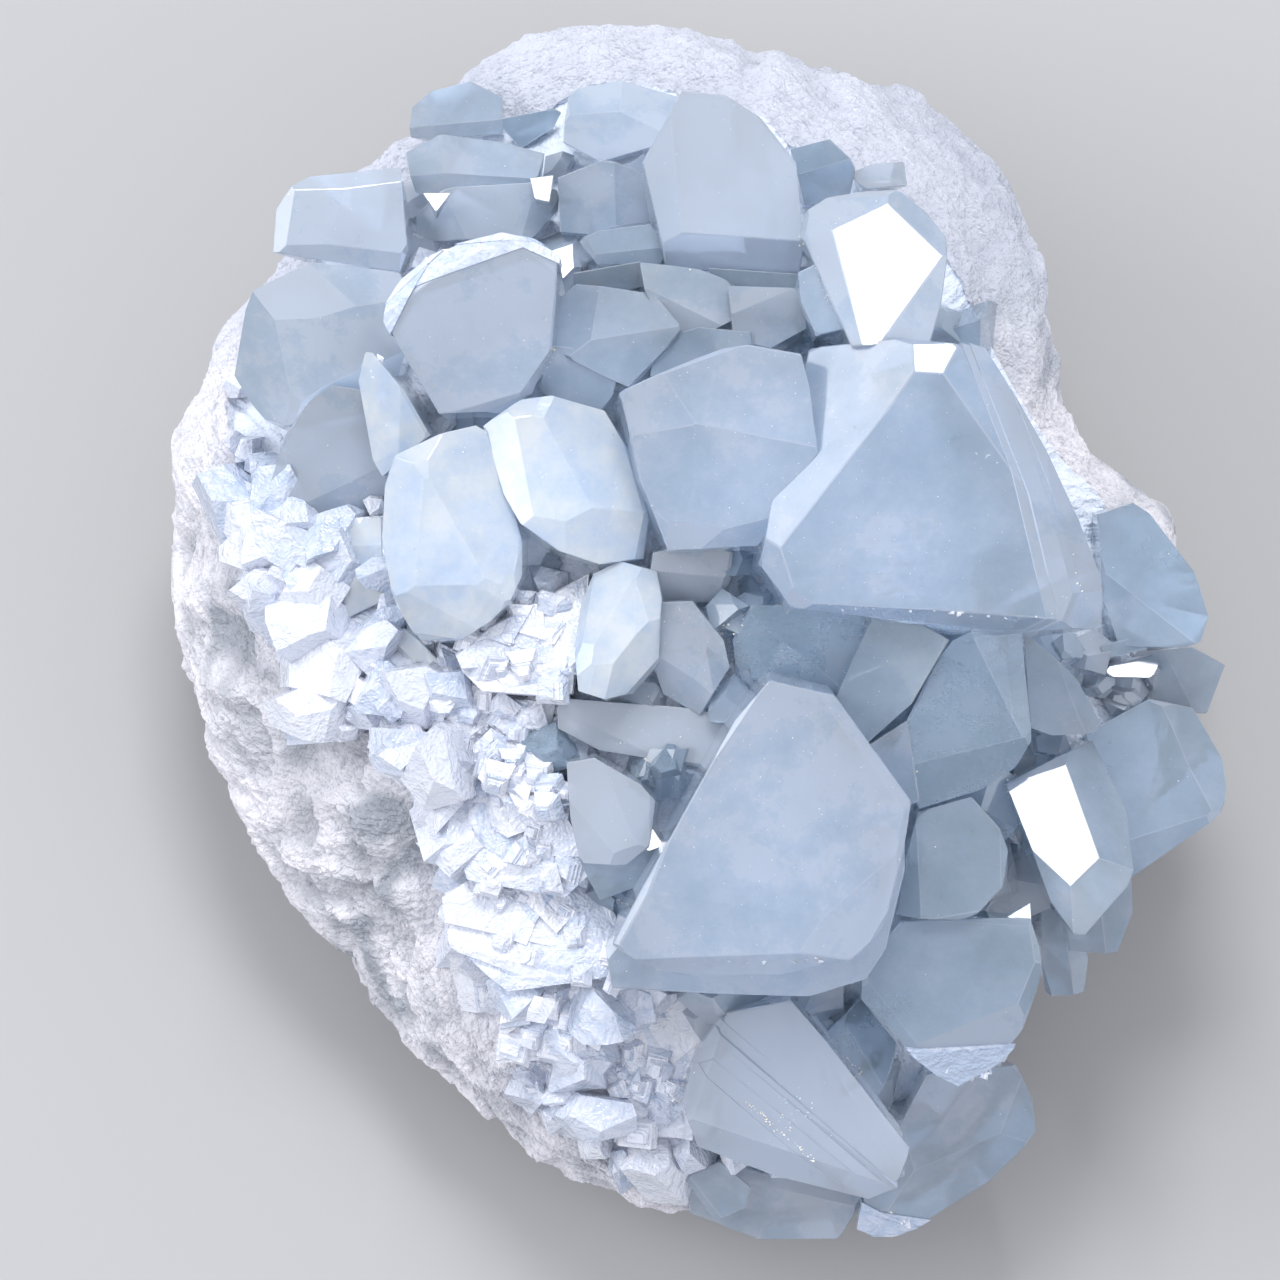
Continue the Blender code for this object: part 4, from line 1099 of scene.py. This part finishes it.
def facet_noise(points, size, seed):
    """Relief of tilted flat facets, one for each cell of a jittered grid, in millimetres."""
    scaled = points / size
    base = np.floor(scaled).astype(int)
    best = np.full(len(points), 9.0)
    height = np.zeros(len(points))
    for step in np.ndindex(3, 3, 3):
        cell = base + np.array(step) - 1
        key = (cell[:, 0] * 73856093) ^ (cell[:, 1] * 19349663)
        key ^= (cell[:, 2] * 83492791) + seed * 7919
        draws = [((key * m + 12345) % 10007) / 10007.0 for m in (31, 57, 91, 17, 43, 77)]
        gap = scaled - cell - np.stack(draws[:3], axis=1)
        reach = np.linalg.norm(gap, axis=1)
        tilt = np.stack(draws[3:], axis=1) - 0.5
        rise = np.sum(gap * tilt, axis=1) * 0.9
        height = np.where(reach < best, rise, height)
        best = np.minimum(best, reach)
    return height * size * 0.5


def soft_noise(points, size, seed):
    """Smooth noise from about -1 to 1 at many points."""
    shift = Vector((seed, 0, 0))
    scaled = points / size
    return np.array([noise.noise(Vector(p) + shift) for p in scaled]) * 1.6


def matrix_outside(a, t):
    """A smooth standing point of the matrix: t runs from the resting spot to the rim."""
    reach = around(MATRIX_REACH, a)
    if t < 0.5:
        t = t * 2
        widest = stand((reach * cos(a), reach * sin(a), WIDEST_HEIGHT))
        x = STAND_SHIFT[0] + SPOT_CENTRE[0] + SPOT_SIZE[0] * cos(a)
        y = STAND_SHIFT[1] + SPOT_CENTRE[1] + SPOT_SIZE[1] * sin(a)
        out = sin(t * pi / 2)
        low = Vector((x + (widest.x - x) * out, y + (widest.y - y) * out,
                      widest.z * (1 - cos(t * pi / 2))))
        away = Vector((cos(a), sin(a), -0.8 * (1 - t))).normalized()
        return low, away, min(1, t * 2.5)
    t = t * 2 - 1
    radius = reach - around(FLANK_WIDTH, a) * t ** 1.5
    height = WIDEST_HEIGHT + (around(FLANK_TOP, a) - WIDEST_HEIGHT) * t ** 0.8
    away = Vector((cos(a), sin(a), 0.4 * t)).normalized()
    return stand((radius * cos(a), radius * sin(a), height)), away, 1


def matrix_form():
    """The matrix's lumpy standing points, the ways out of them and how far relief shows."""
    steps_round, steps_up, steps_seat = MATRIX_STEPS
    angles = np.linspace(0, 2 * pi, steps_round, endpoint=False)
    points = []
    aways = []
    fades = []
    for t in np.linspace(0, 1, steps_up, endpoint=False):
        for a in angles:
            place, away, fade = matrix_outside(a, t)
            place += away * rough_matrix(place) * fade
            place.z = max(place.z, 2.4 * t * min(1, 4 * fade))
            points.append(place)
            aways.append(away)
            fades.append(fade)
    for share in np.linspace(1, 0, steps_seat, endpoint=False):
        for a in angles:
            reach = rim_reach(a) * share
            x = reach * cos(a)
            y = reach * sin(a)
            points.append(stand((x, y, seat_height(x * 0.999, y * 0.999))))
            aways.append(UP)
            fades.append(0.25 + 0.75 * share ** 3)
    return np.array(points), np.array(aways), np.array(fades)


def matrix_relief(points, fades):
    """How far each point stands out of that form: facets, small lumps, pits and sugar."""
    lumps = soft_noise(points, 3.2, 11)
    pit = np.clip(soft_noise(points, 4.0, 31) - 0.72, 0, 1) * 3.0
    relief = facet_noise(points, 4.6, 5) * 0.75 + facet_noise(points, 2.3, 7) * 0.75
    relief += facet_noise(points, 1.1, 9) * 0.9 + lumps * 0.2 - pit * 0.6 - 0.35
    ledges = relief.reshape(-1, MATRIX_STEPS[0])
    ledges = (ledges + np.roll(ledges, 1, 1) + np.roll(ledges, -1, 1)) / 3
    sugar = np.random.default_rng(5).uniform(-SUGAR, SUGAR, len(points))
    return np.clip(ledges.ravel() + sugar, -DEEPEST_PIT, 0.15) * np.clip(fades, 0, 1)


def build_matrix():
    """The sugary matrix with its grains, ledges and pits."""
    steps_round, steps_up, _ = MATRIX_STEPS
    points, aways, fades = matrix_form()
    relief = matrix_relief(points, fades)
    moved = points + aways * relief[:, None]
    moved[:, 2] = np.maximum(moved[:, 2], 0.0)
    lowest, highest = (np.array(corner) / MM for corner in cad_bounds)
    moved = np.clip(moved, lowest + BOX_GAP, highest - BOX_GAP)
    middle = Vector(STAND_SHIFT) + Vector((*SPOT_CENTRE, 0))
    made = grid_object("sugary_matrix", moved.reshape(-1, steps_round, 3), middle,
                       stand((0, 0, SEAT_HEIGHT)))
    # relief also sets the painted shade in the matrix's pits
    paint_numbers(made, "relief", np.clip(relief / 1.6 + 0.6, 0, 1))
    tone = soft_noise(points, 9.0, 3) * 0.5 + soft_noise(points, 2.2, 15) * 0.35 + 0.35
    paint_numbers(made, "grey", np.clip(tone, 0, 1))
    paint_numbers(made, "rind", np.clip((points[:, 1] - 14) / 12, 0, 0.8))
    outside = np.arange(len(points)) < steps_up * steps_round
    paint_numbers(made, "seat", np.where(outside, 0.0, 0.7))
    return made


# Materials
CELESTITE_IOR = 1.62
CELESTITE_TINT = (0.50, 0.72, 0.97)     # what the milky crystals let through


class Shader:
    """A node material being built around one Principled shader."""

    def __init__(self, name):
        self.material = bpy.data.materials.new(name)
        self.material.use_nodes = True
        self.tree = self.material.node_tree
        self.shader = self.tree.nodes["Principled BSDF"]
        self.output = self.tree.nodes["Material Output"]
        self.place = self.add("ShaderNodeTexCoord").outputs["Object"]

    def add(self, kind, inputs=None, **settings):
        """A node with its settings, and with values or sources at its inputs."""
        node = self.tree.nodes.new(kind)
        for key, value in settings.items():
            setattr(node, key, value)
        for key, value in (inputs or {}).items():
            self.feed(node.inputs[key], value)
        return node

    def feed(self, socket, value):
        """Links a source to a socket, or sets the socket to a plain value."""
        if isinstance(value, bpy.types.NodeSocket):
            self.tree.links.new(value, socket)
        elif isinstance(value, tuple):
            socket.default_value = (*value, 1)
        else:
            socket.default_value = value

    def noise(self, per_metre, detail=3.0, roughness=0.5, distortion=0.0):
        inputs = {"Vector": self.place, "Scale": per_metre, "Detail": detail,
                  "Roughness": roughness, "Distortion": distortion}
        return self.add("ShaderNodeTexNoise", inputs).outputs["Fac"]

    def ramp(self, source, *stops):
        """A source turned into a grey or a colour, given at places from 0 to 1."""
        node = self.add("ShaderNodeValToRGB", {"Fac": source})
        spots = node.color_ramp.elements
        while len(spots) < len(stops):
            spots.new(0.5)
        for spot, (where, value) in zip(spots, stops):
            spot.position = where
            color = value if isinstance(value, tuple) else (value, value, value)
            spot.color = (*color, 1)
        return node.outputs["Color"]

    def mix(self, amount, one, other):
        inputs = {0: amount, 6: one, 7: other}
        return self.add("ShaderNodeMix", inputs, data_type="RGBA").outputs[2]

    def raised(self, base, source, share):
        """The base with a share of another value added."""
        inputs = {0: source, 1: share, 2: base}
        return self.add("ShaderNodeMath", inputs, operation="MULTIPLY_ADD").outputs[0]

    def painted(self, name):
        """A number stored on the mesh."""
        return self.add("ShaderNodeAttribute", attribute_name=name).outputs["Fac"]

    def surface(self, color, roughness):
        self.feed(self.shader.inputs["Base Color"], color)
        self.feed(self.shader.inputs["Roughness"], roughness)

    def bump(self, height, strength, distance):
        inputs = {"Height": height, "Strength": strength, "Distance": distance}
        bump = self.add("ShaderNodeBump", inputs)
        self.feed(self.shader.inputs["Normal"], bump.outputs["Normal"])

    def clear(self, share, tint, density):
        """Light passes through: a plain share, bending and absorption."""
        self.feed(self.shader.inputs["Transmission Weight"], share)
        self.feed(self.shader.inputs["IOR"], CELESTITE_IOR)
        volume = self.add("ShaderNodeVolumeAbsorption", {"Color": tint, "Density": density})
        self.feed(self.output.inputs["Volume"], volume.outputs["Volume"])


def crystal_material(name, share, density, frost):
    """Clear celestite, milky where its faces say so, with a soft clouding."""
    look = Shader(name)
    clouds = look.noise(200, 2, 0.65)
    milk = look.raised(look.painted("milk"), clouds, 0.72)
    tone = look.raised(milk, look.noise(1700, 2, 0.8), 0.24)
    color = look.ramp(tone, (0.45, (0.40, 0.55, 0.68)), (0.80, (0.57, 0.70, 0.84)),
                      (0.95, (0.67, 0.78, 0.91)), (1.0, (0.76, 0.84, 0.95)))
    look.surface(color, look.ramp(clouds, (0.35, frost), (0.65, 0.03)))
    look.clear(share, CELESTITE_TINT, density)
    return look.material


def milky_material():
    return crystal_material("celestite_milky", 0.68, 20, 0.14)


def pale_material():
    return crystal_material("celestite_pale", 0.6, 18, 0.12)


def glassy_material():
    """Clear and nearly white, with soft white clouds."""
    look = Shader("celestite_glassy")
    waves = look.noise(260, 4, 0.7)
    color = look.ramp(waves, (0.36, (0.66, 0.80, 1.0)), (0.62, (0.90, 0.96, 1.0)))
    look.surface(color, look.ramp(waves, (0.4, 0.10), (0.7, 0.02)))
    look.bump(waves, 0.08, 0.0003)
    look.clear(0.5, (0.58, 0.80, 1.0), 7)
    return look.material


def broken_material():
    """Broken celestite: every plate has its own tone, from clear blue-grey to white."""
    look = Shader("cleaved_white")
    clouds = look.noise(640, 3, 0.8, 0.3)
    tone = look.mix(0.6, look.painted("milk"), clouds)
    color = look.ramp(tone, (0.22, (0.42, 0.50, 0.64)), (0.45, (0.64, 0.68, 0.78)),
                      (0.75, (0.79, 0.80, 0.85)))
    look.surface(color, look.ramp(clouds, (0.35, 0.06), (0.7, 0.35)))
    look.bump(clouds, 0.9, 0.0005)
    look.feed(look.shader.inputs["IOR"], CELESTITE_IOR)
    return look.material


def grain_material(name, stops, roughness):
    """Loose grains, each with its own tone."""
    look = Shader(name)
    uneven = look.ramp(look.noise(2000, 2), (0.3, roughness * 0.6), (0.7, roughness))
    look.surface(look.ramp(look.painted("tone"), *stops), uneven)
    return look.material


def dust_material():
    stops = ((0.0, (0.92, 0.90, 0.86)), (0.5, (0.78, 0.70, 0.58)), (0.9, (0.30, 0.24, 0.20)),
             (1.0, (0.70, 0.33, 0.10)))
    return grain_material("cream_dust", stops, 0.9)


def rainbow_material():
    # painted iridescent reflection: pale rainbow colours on the flecks
    stops = ((0.0, (0.95, 0.62, 0.66)), (0.2, (0.98, 0.86, 0.60)), (0.4, (0.72, 0.95, 0.80)),
             (0.6, (0.60, 0.84, 0.98)), (0.8, (0.80, 0.72, 0.98)), (1.0, (1.0, 1.0, 1.0)))
    return grain_material("rainbow_flecks", stops, 0.3)


def matrix_material():
    """White sugary rind, with painted shade in its pits, and greyer where it is painted so."""
    look = Shader("sugary_white")
    sugar = look.noise(1500, 2, 0.8)
    # painted shade: darker where the relief is deepest, in the pits and hollows
    pits = look.ramp(look.painted("relief"), (0.0, 0.7), (0.40, 0.0))
    body = look.ramp(look.painted("grey"), (0.3, (0.72, 0.71, 0.75)), (0.65, (0.60, 0.60, 0.64)),
                     (0.9, (0.30, 0.32, 0.36)))
    body = look.mix(look.ramp(sugar, (0.52, 0.0), (0.66, 0.6)), body, (0.46, 0.48, 0.54))
    body = look.mix(pits, body, (0.36, 0.38, 0.42))
    body = look.mix(look.painted("rind"), body, (0.47, 0.50, 0.58))
    body = look.mix(look.painted("seat"), body, (0.78, 0.86, 0.99))
    look.surface(body, look.ramp(sugar, (0.35, 0.3), (0.7, 0.75)))
    look.bump(sugar, 0.7, 0.0005)
    return look.material


def floor_material():
    look = Shader("studio_floor")
    color = look.ramp(look.noise(4, 0), (0.3, (0.385, 0.385, 0.388)), (0.7, (0.40, 0.40, 0.403)))
    look.surface(color, 0.6)
    return look.material


# Scene
PICTURE = 1280              # plan units across the camera's picture
PICTURE_CENTRE = (640, 640)
FOCUS_HEIGHT = 25           # mm, height of the plane that the picture's scale is measured on
CAMERA_AWAY = 1500          # mm from that plane
SENSOR = 36.0


def dress(piece, material, node):
    """Gives a piece its material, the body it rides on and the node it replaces."""
    piece.data.materials.clear()
    piece.data.materials.append(material)
    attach(piece, "root")
    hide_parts(node)


def add_floor():
    mesh = bpy.data.meshes.new("floor")
    half = 3.0
    corners = [(-half, -half, 0), (half, -half, 0), (half, half, 0), (-half, half, 0)]
    mesh.from_pydata(corners, [], [(0, 1, 2, 3)])
    floor = new_object("floor", mesh)
    floor.data.materials.append(floor_material())


def add_light(name, place, size, power, color=(1, 1, 1)):
    """A square softbox that looks at the specimen."""
    light = bpy.data.lights.new(name, "AREA")
    light.size = size
    light.energy = power
    light.color = color
    lamp = new_object(name, light)
    lamp.location = place
    aim = Vector(place) - Vector((0, 0, FOCUS_HEIGHT * MM))
    lamp.rotation_euler = aim.to_track_quat("Z", "Y").to_euler()


def add_lights():
    """One softbox beyond the specimen's head, mirrored by its parallel faces, and fill."""
    away = 0.9
    lean = radians(30)
    add_light("head_softbox", (0.0, away * sin(lean), away * cos(lean)), 0.27, 4.3)
    add_light("left_fill", (-0.75, 0.1, 0.55), 0.6, 4.1, (0.97, 0.98, 1.0))
    add_light("right_fill", (0.8, -0.35, 0.6), 0.6, 1.4)
    world = bpy.data.worlds.new("studio")
    world.use_nodes = True
    back = world.node_tree.nodes["Background"]
    back.inputs["Color"].default_value = (0.88, 0.895, 0.96, 1)
    back.inputs["Strength"].default_value = 0.98
    bpy.context.scene.world = world


def add_camera():
    """Looks straight down the growth axis, as the specimen was photographed."""
    data = bpy.data.cameras.new("camera")
    data.sensor_width = SENSOR
    data.lens = SENSOR * CAMERA_AWAY / (PICTURE * PLAN_STEP)
    data.clip_end = 20
    camera = new_object("camera", data)
    spot = plan(*PICTURE_CENTRE)
    camera.location = stand((spot.x, spot.y, FOCUS_HEIGHT + CAMERA_AWAY)) * MM
    camera.rotation_euler = (radians(LEAN_BACK), 0, 0)
    bpy.context.scene.camera = camera


add_camera()
add_lights()
add_floor()
(blue, pale, glassy), white = build_crystals()
tree = surface_tree((blue, pale, glassy))
luck = Random(23)
grains = seam_grains(blue, luck) + seam_grains(pale, luck) + speck_grains(tree, luck)
dust = grain_object("seam_dust", grains)
flecks = grain_object("rainbow_flecks", rainbow_flecks(tree, luck))
broken = build_broken(tree, white)
for piece, material in ((blue, milky_material()), (pale, pale_material()),
                        (glassy, glassy_material()), (dust, dust_material()),
                        (flecks, rainbow_material()), (broken, broken_material())):
    dress(piece, material, "celestite_crystals")
dress(build_matrix(), matrix_material(), "matrix")

scene = bpy.context.scene
scene.view_settings.view_transform = "Standard"
scene.cycles.use_light_tree = False
scene.cycles.max_bounces = 6
scene.cycles.diffuse_bounces = 3
scene.cycles.glossy_bounces = 2
scene.cycles.transmission_bounces = 6
